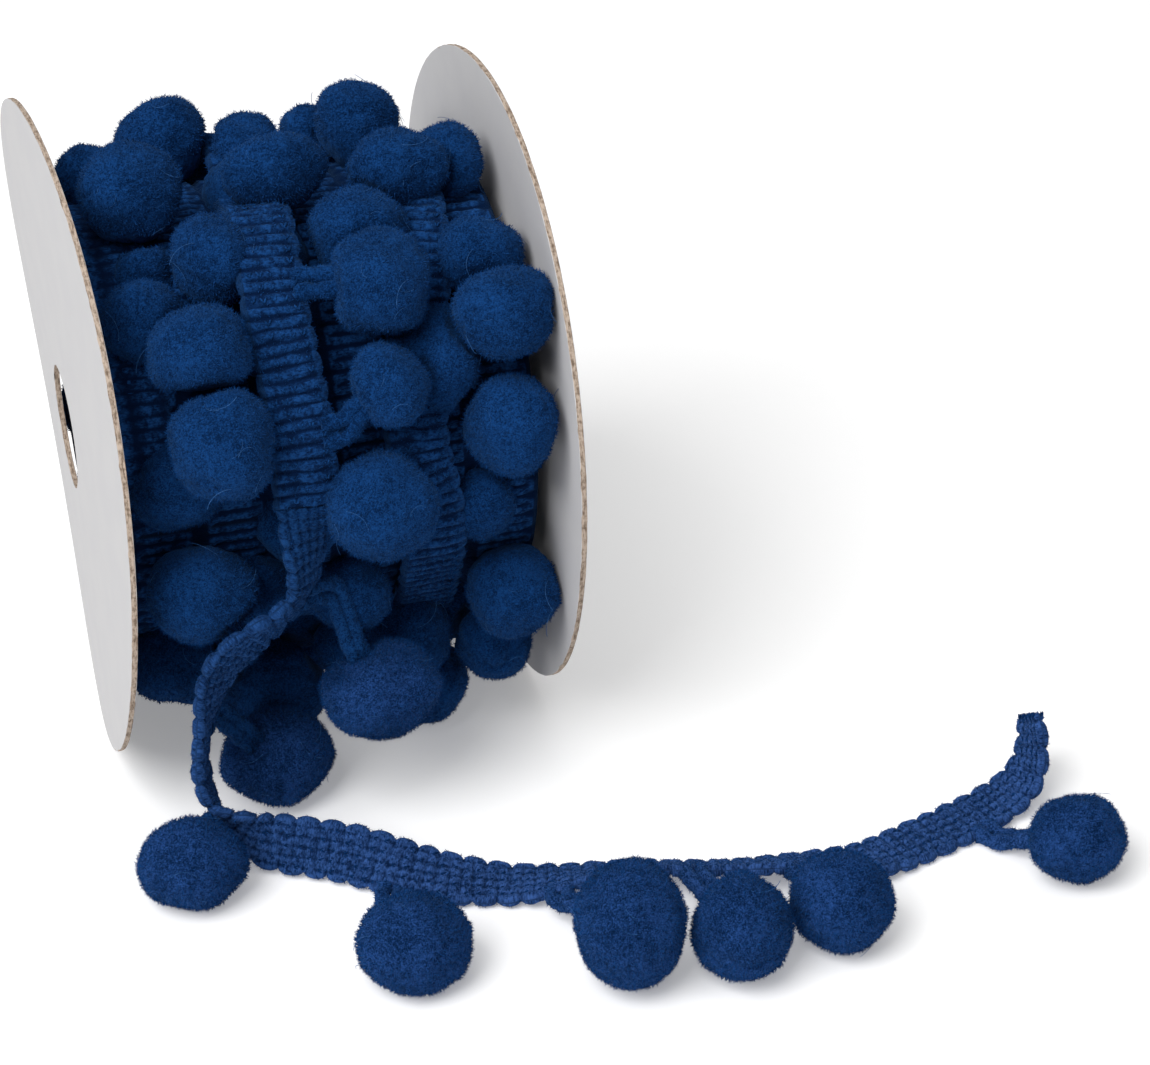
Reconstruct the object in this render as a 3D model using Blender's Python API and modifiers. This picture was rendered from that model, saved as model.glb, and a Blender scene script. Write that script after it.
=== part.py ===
"""Pompom fringe trim wound on a white card reel, with its loose end lying in front.

Metres, +Z up. The origin is on the floor at the foot of the left card. +X runs along the reel's
axis to the right card, and the loose end lies on the floor towards -Y and +X.
The tables are in millimetres and degrees, and MM turns them into metres.
"""

import math
from collections import namedtuple

import bmesh
import bpy
import numpy as np
from mathutils import Matrix, Vector, noise

MM = 0.001
GAP = 0.3 * MM

# The card reel.
CARD_RADIUS = 57.5 * MM
CARD_THICKNESS = 1.0 * MM
CARD_SIDES = 48
CARD_RINGS = (10.8 * MM, 27.0 * MM, 43.0 * MM, CARD_RADIUS)
AXLE_HEIGHT = CARD_RADIUS * math.cos(math.pi / CARD_SIDES)
CORE_RADIUS = 13.5 * MM
CORE_BORE = 11.3 * MM
CORE_SIDES = 32

# The wound braid that fills the reel below the outer pompoms.
DRUM_RADIUS = 40.5 * MM
DRUM_BORE = CORE_RADIUS + GAP + 0.05 * MM
DRUM_END_INSET = 1.3 * MM
DRUM_FROM = 2.2 * MM
DRUM_TO = 73.6 * MM
DRUM_SIDES = 30
DRUM_ROUNDING = 4.0 * MM
LANES = 6
LANE_DEPTH = 1.2 * MM

# The braid, and the doubled loops of cord that tie the pompoms to its edge.
BRAID_WIDTH = 10.5 * MM
BRAID_THICKNESS = 2.4 * MM
BRAID_STEP = 2.1 * MM
WOUND_STEP = 5.6 * MM
SCALLOP_DEPTH = 0.45 * MM
CORD_RADIUS = 1.15 * MM
CORD_SPACING = 2.7 * MM
CORD_STEP = 2.4 * MM
ROOT_RADIUS = 2.2 * MM
ROOT_SINK = 2.0 * MM
ROOT_DEPTH = 8.0 * MM
EASING_ROUNDS = 4
CURVE_SAMPLES = 24

# A strand of a loop: how far it is spread from its twin, how much of the way to the pompom's
# centre it has gone, and how far it stands out along the braid's edge direction.
Strand = namedtuple("Strand", "spread way out")
LOOP_STRAND = (
    Strand(1.0, 0.0, 0.0),
    Strand(1.0, 0.0, 4.0),
    Strand(0.85, 0.55, 1.0),
    Strand(0.75, 0.85, 0.0),
)

# How pompoms are spaced: each is moved a little, and then flattened where it presses on others.
LUMP = 0.03
LUMP_SIZE = 1.4
PRESS = 2.0 * MM
LOWEST_SEAT = 38.0 * MM
HIGHEST_SEAT = 49.5 * MM
SETTLE_ROUNDS = 300
HOMING = 0.03
FIXED = 1000.0
CONTACT_ROUNDS = 4
FLOOR_CLEARANCE = 0.5 * MM

# Segments round and rings down a pompom of each group.
FACETS = {
    "top": (9, 7),
    "right": (9, 7),
    "left": (9, 7),
    "low": (9, 7),
    "back": (8, 5),
    "under": (6, 5),
    "loose": (14, 9),
}

# Where each group's own lumps start in the noise.
SEEDS = {"back": 100, "under": 200, "loose": 300}

# The back of the reel, which is filled by rule: an outer layer beside the outermost turn of
# braid, and a lower one below it and along the cards.
BACK_SEED = 7
BACK_FROM = 137.0
BACK_TO = 292.0
BACK_STEP = 22.0
BACK_OUT = 47.5 * MM
BACK_SIZE = 18.4 * MM
BACK_PITCH = 21.0 * MM
BACK_JITTER = 1.5 * MM
BACK_STAGGER = (-4.0, 6.0)
BACK_TURN_JITTER = 2.0
BACK_SIZES = (0.92, 1.06)
UNDER_OUT = 38.0 * MM
UNDER_SIZE = 15.0 * MM
UNDER_WEIGHT = 0.3
UNDER_FRONT = (-4.0, 20.0, 44.0, 66.0, 92.0, 114.0)

Card = namedtuple("Card", "name place bow twist lean")
CARDS = (
    Card("left_flange", 0.0, 1.3, -3.4, -0.8),
    Card("right_flange", 77.2, -1.0, -1.2, -1.15),
)

# along is X, around is the angle up from the front, out is the distance from the axle, and wide
# and tall are the size along the axle and across it.
Wound = namedtuple("Wound", "name along around out wide tall")
FRONT_POMPOMS = (
    Wound("top_a", 21.9, 115, 48.0, 17.5, 16.5),
    Wound("top_b", 11.3, 80, 47.5, 18.0, 17.2),
    Wound("top_c", 8.2, 108, 44.0, 14.5, 15.0),
    Wound("top_d", 35.1, 112, 45.0, 15.0, 14.0),
    Wound("top_e", 36.2, 80, 48.0, 18.9, 15.0),
    Wound("top_f", 54.5, 106, 48.0, 15.0, 15.5),
    Wound("top_g", 46.0, 117, 46.0, 13.0, 13.0),
    Wound("top_h", 56.6, 78, 47.5, 18.0, 15.0),
    Wound("top_i", 68.2, 86, 44.1, 14.0, 15.5),
    Wound("right_a", 47.4, 64.5, 44.4, 17.9, 16.0),
    Wound("right_b", 47.5, 46.5, 50.5, 18.2, 19.7),
    Wound("right_c", 66.3, 55, 43.9, 17.0, 16.0),
    Wound("right_d", 67.1, 39, 50.4, 17.7, 15.9),
    Wound("right_e", 56.0, 34, 41.0, 15.7, 19.4),
    Wound("right_f", 45.6, 29, 50.4, 15.5, 15.5),
    Wound("right_g", 67.0, 17.5, 46.0, 16.5, 18.5),
    Wound("right_h", 42.8, 5.5, 49.0, 19.6, 18.3),
    Wound("right_i", 61.0, -4, 40.0, 14.4, 14.4),
    Wound("right_j", 67.7, -28, 46.0, 16.5, 17.3),
    Wound("left_a", 21.6, 61, 45.0, 15.5, 16.0),
    Wound("left_b", 12.1, 67, 38.5, 13.0, 13.0),
    Wound("left_c", 8.8, 51, 41.6, 15.5, 15.5),
    Wound("left_d", 16.3, 40.5, 50.5, 18.4, 15.8),
    Wound("left_e", 16.8, 22.5, 50.5, 18.2, 19.8),
    Wound("left_f", 9.7, 12, 39.0, 16.2, 16.4),
    Wound("left_g", 11.8, -10.5, 47.0, 18.5, 16.5),
    Wound("left_h", 9.5, -47, 45.5, 17.0, 16.0),
    Wound("left_i", 22.8, -21, 38.5, 15.3, 15.3),
    Wound("low_a", 51.1, -49, 46.0, 16.4, 17.0),
    Wound("low_b", 54.4, -62, 54.8, 17.0, 17.0),
    Wound("low_c", 28.5, -66, 52.3, 17.0, 17.0),
    Wound("low_d", 39.2, -26, 42.0, 14.6, 14.6),
    Wound("low_e", 67.1, -54.5, 50.4, 16.2, 15.0),
)

# The angle at which the loop of each of these leaves the right edge of the outermost turn.
LOOPED = {"right_b": 51.0, "right_f": 22.0}

# The outermost turn of braid, from its end at the front back round the reel.
Turn = namedtuple("Turn", "around along out")
OUTER_TURN = (
    Turn(-4, 29.6, 49),
    Turn(20, 30.8, 49),
    Turn(46, 30.2, 49),
    Turn(66, 31.4, 49),
    Turn(82, 32.0, 41),
    Turn(100, 33.0, 40),
    Turn(125, 35.0, 46),
    Turn(180, 40.0, 47),
    Turn(225, 46.0, 46),
    Turn(270, 52.0, 45),
    Turn(300, 55.5, 43),
    Turn(342, 55.9, 43),
    Turn(360, 55.4, 44),
    Turn(378, 53.1, 44),
    Turn(408, 56.0, 44),
    Turn(427, 58.0, 44),
    Turn(450, 60.0, 39),
)
LEFT_TURN = (
    Turn(-40, 8.0, 38.5),
    Turn(20, 7.0, 39.5),
    Turn(80, 6.5, 39.5),
    Turn(140, 6.5, 39.5),
    Turn(200, 7.5, 38.5),
)

# The loose end's middle line, and the direction across it to the edge that carries the pompoms.
# A z of 0 is a place where the braid rests on the floor.
Route = namedtuple("Route", "x y z edge_x edge_y edge_z")
LOOSE_ROUTE = (
    Route(29.6, -49.0, 57.4, 1.0, 0.0, 0.0),
    Route(29.5, -48.9, 53.8, 1.0, 0.0, 0.0),
    Route(29.4, -48.7, 50.2, 1.0, 0.0, 0.0),
    Route(29.0, -48.9, 47.8, 1.0, 0.2, -0.1),
    Route(27.8, -49.8, 45.9, 0.7, 0.6, -0.4),
    Route(25.5, -50.9, 44.9, 0.35, 0.75, -0.5),
    Route(21.9, -52.4, 44.0, 0.4, 0.6, -0.65),
    Route(18.1, -52.4, 42.0, 0.42, 0.5, -0.74),
    Route(14.5, -51.5, 38.0, 0.75, 0.45, -0.45),
    Route(12.9, -48.8, 31.6, 0.87, 0.46, -0.1),
    Route(11.5, -49.6, 25.9, 0.5, 0.85, 0.0),
    Route(10.4, -51.0, 20.6, 0.29, 0.95, 0.0),
    Route(9.9, -52.4, 16.8, -0.05, 0.99, 0.0),
    Route(10.2, -53.8, 12.6, -0.6, 0.75, -0.1),
    Route(11.6, -55.2, 9.0, -0.85, 0.1, -0.5),
    Route(14.4, -56.9, 6.4, -0.55, -0.35, -0.75),
    Route(18.4, -59.5, 0.0, -0.25, -0.5, -0.84),
    Route(23.3, -63.2, 0.0, -0.16, -0.52, -0.84),
    Route(30.5, -69.6, 0.0, -0.16, -0.52, -0.84),
    Route(37.7, -75.1, 0.0, -0.16, -0.52, -0.84),
    Route(45.2, -79.4, 0.0, -0.28, -0.9, -0.32),
    Route(53.1, -81.8, 0.0, -0.29, -0.95, 0.1),
    Route(60.9, -82.0, 0.0, -0.25, -0.81, 0.54),
    Route(67.3, -81.2, 0.0, -0.25, -0.81, 0.54),
    Route(77.4, -82.4, 0.0, -0.25, -0.81, 0.54),
    Route(86.9, -85.7, 0.0, -0.25, -0.81, 0.54),
    Route(95.2, -87.6, 0.0, -0.25, -0.81, 0.54),
    Route(104.0, -88.8, 0.0, -0.29, -0.96, 0.2),
    Route(111.6, -91.0, 0.0, -0.29, -0.96, -0.1),
    Route(117.5, -92.0, 0.0, -0.28, -0.92, -0.21),
    Route(124.8, -90.0, 0.0, -0.2, -0.9, -0.35),
    Route(134.0, -85.8, 0.0, -0.1, -0.9, -0.35),
    Route(143.5, -81.2, 0.0, 0.15, -0.75, -0.6),
    Route(150.6, -76.0, 0.0, 0.4, -0.45, -0.8),
    Route(155.3, -70.1, 0.0, 0.45, -0.2, -0.87),
    Route(157.0, -64.8, 0.0, 0.45, -0.1, -0.87),
)

# root is the distance along the loose end at which the pompom's loop leaves the braid. A z of 0
# is a pompom that rests on the floor.
Loose = namedtuple("Loose", "name x y z wide tall root")
LOOSE_POMPOMS = (
    Loose("loose_a", 43.0, -48.1, 24.9, 20.1, 17.6, 6.0),
    Loose("loose_b", 24.0, -39.0, 0.0, 19.9, 17.0, 30.5),
    Loose("loose_c", 4.8, -65.6, 0.0, 19.2, 16.0, 55.0),
    Loose("loose_d", 34.8, -96.2, 0.0, 19.0, 17.0, 80.0),
    Loose("loose_e", 69.9, -101.5, 0.0, 17.9, 19.5, 105.0),
    Loose("loose_f", 87.4, -107.1, 0.0, 16.7, 17.5, 130.0),
    Loose("loose_g", 105.4, -106.4, 0.0, 18.3, 17.5, 155.0),
    Loose("loose_h", 148.5, -102.2, 0.0, 16.5, 15.5, 189.0),
)

# Linear colours with a roughness for each piece.
Finish = namedtuple("Finish", "colour roughness")
WHITE_CARD = Finish((0.62, 0.62, 0.64), 0.6)
GREY_BOARD = Finish((0.35, 0.29, 0.24), 0.85)
BLUE_YARN = Finish((0.006, 0.034, 0.125), 0.95)


# Scene and object helpers


def clear_scene():
    """Removes every object that the file opened with."""
    for obj in list(bpy.data.objects):
        bpy.data.objects.remove(obj, do_unlink=True)


def new_collection(name, hidden=False):
    """Makes a collection in the scene; a hidden one holds pieces that a union joins."""
    group = bpy.data.collections.new(name)
    group.hide_render = hidden
    bpy.context.scene.collection.children.link(group)
    return group


def new_object(name, bm, group, helper=False):
    """Turns a bmesh into an object; a helper is left out of renders and drawn as wire."""
    mesh = bpy.data.meshes.new(name)
    bm.to_mesh(mesh)
    bm.free()
    mesh.shade_smooth()
    mesh.set_sharp_from_angle(angle=math.radians(40))
    obj = bpy.data.objects.new(name, mesh)
    group.objects.link(obj)
    if helper:
        obj.hide_render = True
        obj.display_type = "WIRE"
    return obj


def dress(obj, finish):
    """Gives the object a Principled material of its own."""
    material = bpy.data.materials.new(obj.name)
    material.use_nodes = True
    shader = material.node_tree.nodes["Principled BSDF"]
    shader.inputs["Base Color"].default_value = (*finish.colour, 1.0)
    shader.inputs["Roughness"].default_value = finish.roughness
    shader.inputs["Metallic"].default_value = 0.0
    obj.data.materials.append(material)


def join_all(obj, group):
    """Unites the object with every piece of a collection, and keeps the outer skin alone."""
    union = obj.modifiers.new("join", "BOOLEAN")
    union.operation = "UNION"
    union.solver = "EXACT"
    union.operand_type = "COLLECTION"
    union.collection = group
    graph = bpy.context.evaluated_depsgraph_get()
    bm = bmesh.new()
    bm.from_mesh(bpy.data.meshes.new_from_object(obj.evaluated_get(graph)))
    obj.modifiers.clear()
    skins = islands(bm)
    outer = max(skins, key=len)
    pockets = [face for skin in skins if skin is not outer for face in skin]
    bmesh.ops.delete(bm, geom=pockets, context="FACES")
    bm.to_mesh(obj.data)
    bm.free()


def islands(bm):
    """The faces of a mesh in groups that hang together."""
    found = []
    waiting = set(bm.faces)
    while waiting:
        group = []
        reached = [waiting.pop()]
        while reached:
            face = reached.pop()
            group.append(face)
            for edge in face.edges:
                for other in edge.link_faces:
                    if other in waiting:
                        waiting.remove(other)
                        reached.append(other)
        found.append(group)
    return found


# Places and curves


def at_angle(along, around, out):
    """The point at a distance along the axle, an angle up from the front and a radius."""
    turn = math.radians(around)
    return Vector((along, -out * math.cos(turn), AXLE_HEIGHT + out * math.sin(turn)))


def card_middle(card, y, z):
    """X of the middle of a warped card at a place on it."""
    across = y / CARD_RADIUS
    up = (z - AXLE_HEIGHT) / CARD_RADIUS
    warp = card.bow * across**2 + card.twist * across * up + card.lean * (up + 1)
    return (card.place + warp) * MM


def smooth_points(rows, step):
    """Rows of numbers read at an even step from a smooth curve through the given rows.

    The first three numbers of a row are the point that the step is measured on.
    """
    rows = np.array(rows, float)
    padded = np.vstack([2 * rows[0] - rows[1], rows, 2 * rows[-1] - rows[-2]])
    fine = []
    for i in range(len(rows) - 1):
        a, b, c, d = padded[i : i + 4]
        for t in np.linspace(0, 1, CURVE_SAMPLES, endpoint=False):
            bend = 2 * a - 5 * b + 4 * c - d
            twist = 3 * (b - c) + d - a
            fine.append(b + 0.5 * t * (c - a + t * (bend + t * twist)))
    fine.append(rows[-1])
    fine = np.array(fine)
    travelled = np.r_[0, np.cumsum(np.linalg.norm(np.diff(fine[:, :3], axis=0), axis=1))]
    count = max(2, round(travelled[-1] / step))
    wanted = np.linspace(0, travelled[-1], count + 1)
    return np.stack([np.interp(wanted, travelled, column) for column in fine.T], axis=1)


def square_to(edge, path):
    """Unit directions across the path, as near as can be to the given ones."""
    tangent = np.gradient(path, axis=0)
    tangent /= np.linalg.norm(tangent, axis=1, keepdims=True)
    edge = edge - tangent * (edge * tangent).sum(axis=1, keepdims=True)
    return edge / np.linalg.norm(edge, axis=1, keepdims=True), tangent


def turn_rows(turns, step):
    """Middle line and edge direction of a turn of braid round the reel."""
    path = smooth_points([tuple(at_angle(t.along * MM, t.around, t.out * MM)) for t in turns], step)
    edge, _ = square_to(np.tile((1.0, 0.0, 0.0), (len(path), 1)), path)
    return path, edge


def standing_height(edge, tangent):
    """How far above the floor the braid's middle line is where it rests on an edge or a face."""
    facing = np.cross(tangent, edge)
    return BRAID_WIDTH / 2 * abs(edge[:, 2]) + BRAID_THICKNESS / 2 * abs(facing[:, 2])


def eased(rows):
    """The rows with their sharp changes evened out, and both ends kept."""
    rows = rows.copy()
    for _ in range(EASING_ROUNDS):
        rows[1:-1] = (rows[:-2] + 2 * rows[1:-1] + rows[2:]) / 4
    return rows


def loose_rows(step):
    """Middle line and edge direction of the loose end, resting on the floor where its z is 0."""
    table = np.array(LOOSE_ROUTE)
    table[:, :3] *= MM
    edge, tangent = square_to(table[:, 3:], table[:, :3])
    table[:, 2] = np.maximum(table[:, 2], standing_height(edge, tangent))
    rows = eased(smooth_points(table, step))
    edge, tangent = square_to(rows[:, 3:], rows[:, :3])
    stand = standing_height(edge, tangent)
    lift = np.clip(rows[:, 2] - stand, 0, None)
    rows[:, 2] = stand + eased(np.stack([lift], axis=1))[:, 0]
    first = int(np.argmax(rows[:, 2] < at_angle(0, OUTER_TURN[0].around, OUTER_TURN[0].out * MM).z))
    rows = smooth_points(rows[first:], step)
    return rows[:, :3], square_to(rows[:, 3:], rows[:, :3])[0]


# The reel


def card_mesh(card):
    """A warped round card with its hole, standing on one flat side of its rim."""
    bm = bmesh.new()
    foot = math.radians(-90) + math.pi / CARD_SIDES
    spoke = [
        bm.verts.new((0, r * math.cos(foot), AXLE_HEIGHT + r * math.sin(foot))) for r in CARD_RINGS
    ]
    lines = [bm.edges.new(pair) for pair in zip(spoke, spoke[1:])]
    bmesh.ops.spin(
        bm,
        geom=spoke + lines,
        cent=(0, 0, AXLE_HEIGHT),
        axis=(1, 0, 0),
        angle=2 * math.pi,
        steps=CARD_SIDES,
        use_merge=True,
    )
    for vert in bm.verts:
        vert.co.x = card_middle(card, vert.co.y, vert.co.z) - CARD_THICKNESS / 2
    raised = bmesh.ops.extrude_face_region(bm, geom=bm.faces[:], use_keep_orig=True)["geom"]
    far_side = [item for item in raised if isinstance(item, bmesh.types.BMVert)]
    bmesh.ops.translate(bm, vec=(CARD_THICKNESS, 0, 0), verts=far_side)
    bmesh.ops.recalc_face_normals(bm, faces=bm.faces[:])
    return bm


def hub_reach(card, side):
    """X where the core stops at a card, so that it just clears the warped face."""
    angles = np.linspace(0, 2 * math.pi, 72)
    faces = [
        card_middle(card, CORE_RADIUS * math.sin(a), AXLE_HEIGHT + CORE_RADIUS * math.cos(a))
        for a in angles
    ]
    nearest = max(side * x for x in faces) + CARD_THICKNESS / 2 + GAP
    return side * nearest


def ring_mesh(profile, sides):
    """A ring about the axle from its closed outline of (x, radius) corners."""
    bm = bmesh.new()
    corners = [bm.verts.new((x, 0, AXLE_HEIGHT + radius)) for x, radius in profile]
    lines = [bm.edges.new(pair) for pair in zip(corners, corners[1:] + corners[:1])]
    bmesh.ops.spin(
        bm,
        geom=corners + lines,
        cent=(0, 0, AXLE_HEIGHT),
        axis=(1, 0, 0),
        angle=2 * math.pi,
        steps=sides,
        use_merge=True,
    )
    bmesh.ops.recalc_face_normals(bm, faces=bm.faces[:])
    return bm


def core_profile():
    left, right = CARDS
    start, end = hub_reach(left, 1), hub_reach(right, -1)
    return (
        (start, CORE_BORE),
        (end, CORE_BORE),
        (end, CORE_RADIUS),
        (start, CORE_RADIUS),
    )


def drum_profile():
    """Outline of the wound braid: one shallow hump for each lane of turns, rounded at its ends."""
    start = DRUM_FROM + DRUM_END_INSET
    width = (DRUM_TO - DRUM_END_INSET - start) / LANES
    outline = [(DRUM_TO, DRUM_BORE), (DRUM_TO, DRUM_RADIUS - DRUM_ROUNDING)]
    for lane in range(LANES, 0, -1):
        outline.append((start + lane * width, DRUM_RADIUS - LANE_DEPTH))
        outline.append((start + (lane - 0.5) * width, DRUM_RADIUS))
    outline.append((start, DRUM_RADIUS - LANE_DEPTH))
    outline.append((DRUM_FROM, DRUM_RADIUS - DRUM_ROUNDING))
    outline.append((DRUM_FROM, DRUM_BORE))
    return outline


# The pompoms


class Pompom:
    """An oval ball of yarn: its centre, its half sizes and the directions that they lie along."""

    def __init__(self, name, centre, halves, axes, seed, weight=1.0):
        self.name = name
        self.centre = Vector(centre)
        self.halves = Vector(halves)
        self.axes = axes
        self.seed = seed
        self.weight = weight
        self.on_floor = False
        self.contacts = []


def wound_pompom(name, along, around, out, wide, tall, seed, weight=1.0):
    """A pompom on the reel, its outer end facing straight out."""
    turn = math.radians(around)
    outward = Vector((0, -math.cos(turn), math.sin(turn)))
    sideways = Vector((1, 0, 0))
    axes = (sideways, outward.cross(sideways), outward)
    deep = (wide + tall) / 2
    halves = (wide / 2, tall / 2, deep / 2)
    return Pompom(name, at_angle(along, around, out), halves, axes, seed, weight)


def front_pompoms():
    return [
        wound_pompom(
            p.name, p.along * MM, p.around, p.out * MM, p.wide * MM, p.tall * MM, seed, FIXED
        )
        for seed, p in enumerate(FRONT_POMPOMS)
    ]


def lane_at(around):
    """X of the outermost turn's middle line at an angle."""
    angles = [t.around for t in OUTER_TURN]
    return float(np.interp(around, angles, [t.along for t in OUTER_TURN])) * MM


def back_pompoms():
    """Rows of pompoms on the back, as many each side of the outermost turn as fit."""
    jitter = np.random.default_rng(BACK_SEED)
    found = []
    for row, around in enumerate(np.arange(BACK_FROM, BACK_TO, BACK_STEP)):
        lane = lane_at(around)
        sides = (
            (DRUM_FROM, lane - BRAID_WIDTH / 2),
            (lane + BRAID_WIDTH / 2, DRUM_TO),
        )
        for low, high in sides:
            count = max(1, round((high - low) / BACK_PITCH))
            for slot in range(count):
                along = low + (high - low) * (slot + 0.5) / count
                along += jitter.uniform(-1, 1) * BACK_JITTER
                turn = around + BACK_STAGGER[(slot + row) % 2]
                turn += jitter.uniform(-1, 1) * BACK_TURN_JITTER
                wide, tall = BACK_SIZE * jitter.uniform(*BACK_SIZES, 2)
                out = BACK_OUT + jitter.uniform(-1, 1) * BACK_JITTER
                name, seed = f"back_{len(found)}", SEEDS["back"] + len(found)
                found.append(wound_pompom(name, along, turn, out, wide, tall, seed))
    return found


def under_pompoms():
    """Pompoms of the layer below, which fill the spaces beneath the outermost turn."""
    behind = np.arange(BACK_FROM + BACK_STEP / 2, BACK_TO, BACK_STEP)
    found = []
    for i, around in enumerate((*UNDER_FRONT, *behind)):
        place = (lane_at(around), around, UNDER_OUT)
        seed = SEEDS["under"] + i
        found.append(wound_pompom(f"under_{i}", *place, UNDER_SIZE, UNDER_SIZE, seed, UNDER_WEIGHT))
    return found


def loose_pompoms():
    """The pompoms of the loose end, all but the first of them resting on the floor."""
    axes = (Vector((1, 0, 0)), Vector((0, 1, 0)), Vector((0, 0, 1)))
    found = []
    for seed, p in enumerate(LOOSE_POMPOMS):
        halves = Vector((p.wide, (p.wide + p.tall) / 2, p.tall)) * MM / 2
        centre = (p.x * MM, p.y * MM, p.z * MM or halves.z)
        ball = Pompom(p.name, centre, halves, axes, SEEDS["loose"] + seed, FIXED)
        ball.on_floor = p.z == 0
        found.append(ball)
    return found


def reach_along(halves, axes, direction):
    """How far each oval reaches along a direction, for every pair of pompoms."""
    along_axes = np.einsum("ijk,iak->ija", direction, axes)
    return np.sqrt(((along_axes * halves[:, None, :]) ** 2).sum(axis=2))


def pair_table(places, halves, axes):
    """For every pair: the direction to the first from the second, and both reaches along it."""
    apart = places[:, None, :] - places[None, :, :]
    distance = np.linalg.norm(apart, axis=2) + np.eye(len(places))
    direction = apart / distance[:, :, None]
    return direction, distance, reach_along(halves, axes, direction)


def keep_seated(balls, places):
    """Moves the pompoms of the back between the cards and to a depth on the wound braid."""
    left, right = CARDS
    for i, ball in enumerate(balls):
        if ball.weight == FIXED:
            continue
        up = places[i, 2] - AXLE_HEIGHT
        reach = math.hypot(places[i, 1], up)
        seat = min(max(reach, LOWEST_SEAT), HIGHEST_SEAT) / reach
        places[i, 1] *= seat
        places[i, 2] = AXLE_HEIGHT + up * seat
        room = CARD_THICKNESS / 2 + GAP + ball.halves.x - PRESS / 2
        low = card_middle(left, places[i, 1], places[i, 2]) + room
        high = card_middle(right, places[i, 1], places[i, 2]) - room
        places[i, 0] = min(max(places[i, 0], low), high)


def settle(balls):
    """Pushes the pompoms of the back apart, and finds where all of them press on each other."""
    home = np.array([ball.centre for ball in balls])
    halves = np.array([ball.halves for ball in balls])
    axes = np.array([ball.axes for ball in balls])
    weights = np.array([ball.weight for ball in balls])
    share = weights[None, :] / (weights[:, None] + weights[None, :])
    share[weights == FIXED] = 0
    places = home.copy()
    for _ in range(SETTLE_ROUNDS):
        direction, distance, reach = pair_table(places, halves, axes)
        short = np.clip(reach + reach.T - PRESS - distance, 0, None)
        np.fill_diagonal(short, 0)
        places += 0.5 * ((short * share)[:, :, None] * direction).sum(axis=1)
        places += HOMING * (home - places)
        keep_seated(balls, places)
    direction, distance, reach = pair_table(places, halves * (1 + LUMP), axes)
    for i, ball in enumerate(balls):
        ball.centre = Vector(places[i])
        for j in range(len(balls)):
            if i == j or reach[i, j] + reach[j, i] + GAP < distance[i, j]:
                continue
            longer = (reach[i, j] ** 2 - reach[j, i] ** 2) / (2 * distance[i, j])
            limit = distance[i, j] / 2 + longer - GAP / 2
            ball.contacts.append((Vector(-direction[i, j]), limit))


def flatten(ball, place):
    """The place moved back behind each contact of the pompom, the cards and the floor."""
    for _ in range(CONTACT_ROUNDS):
        for outward, limit in ball.contacts:
            past = (place - ball.centre).dot(outward) - limit
            place = place - outward * max(past, 0)
    floor = 0 if ball.on_floor else FLOOR_CLEARANCE
    place.z = max(place.z, floor)
    if math.hypot(place.y, place.z - AXLE_HEIGHT) < CARD_RADIUS + GAP:
        room = CARD_THICKNESS / 2 + GAP
        left, right = (card_middle(card, place.y, place.z) for card in CARDS)
        place.x = min(max(place.x, left + room), right - room)
    return place


def pompom_mesh(ball, segments, rings):
    """A lumpy oval ball, its poles along its third direction, flattened where it is pressed."""
    bm = bmesh.new()
    bmesh.ops.create_uvsphere(bm, u_segments=segments, v_segments=rings, radius=1)
    shift = Vector((ball.seed * 3.7, ball.seed * 1.3, 0))
    turn = Matrix(ball.axes).transposed()
    for vert in bm.verts:
        pole = abs(vert.co.z) > 0.999
        lump = 1 if pole else 1 + LUMP * noise.noise(vert.co * LUMP_SIZE + shift)
        local = Vector(a * b * lump for a, b in zip(vert.co, ball.halves))
        vert.co = flatten(ball, ball.centre + turn @ local)
    bmesh.ops.recalc_face_normals(bm, faces=bm.faces[:])
    return bm


# The braid and its loops


def braid_object(name, path, edge, scallop, group):
    """A strip of braid along a path: a grid laid on it, with wavy edges, and thickened."""
    count = len(path) - 1
    bm = bmesh.new()
    bmesh.ops.create_grid(bm, x_segments=count, y_segments=2, size=1)
    for vert in bm.verts:
        station = round((vert.co.x + 1) / 2 * count)
        wave = scallop * (station % 2)
        side = round(vert.co.y) * (BRAID_WIDTH / 2 - wave)
        vert.co = Vector(path[station] + edge[station] * side)
    bmesh.ops.recalc_face_normals(bm, faces=bm.faces[:])
    strip = new_object(name, bm, group, helper=True)
    wall = strip.modifiers.new("thickness", "SOLIDIFY")
    wall.thickness = BRAID_THICKNESS
    wall.offset = 0
    return strip


def cord_object(name, points, radius, group):
    """A round cord through the points, as a closed mesh."""
    curve = bpy.data.curves.new(name, "CURVE")
    curve.dimensions = "3D"
    curve.bevel_depth = radius
    curve.bevel_resolution = 1
    curve.use_fill_caps = True
    spline = curve.splines.new("POLY")
    spline.points.add(len(points) - 1)
    for point, place in zip(spline.points, points):
        point.co = (*place, 1)
    guide = bpy.data.objects.new(name + "_route", curve)
    group.objects.link(guide)
    graph = bpy.context.evaluated_depsgraph_get()
    bm = bmesh.new()
    bm.from_mesh(bpy.data.meshes.new_from_object(guide.evaluated_get(graph)))
    bpy.data.objects.remove(guide, do_unlink=True)
    bmesh.ops.remove_doubles(bm, verts=bm.verts[:], dist=0.001 * MM)
    bmesh.ops.recalc_face_normals(bm, faces=bm.faces[:])
    return new_object(name, bm, group, helper=True)


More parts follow.
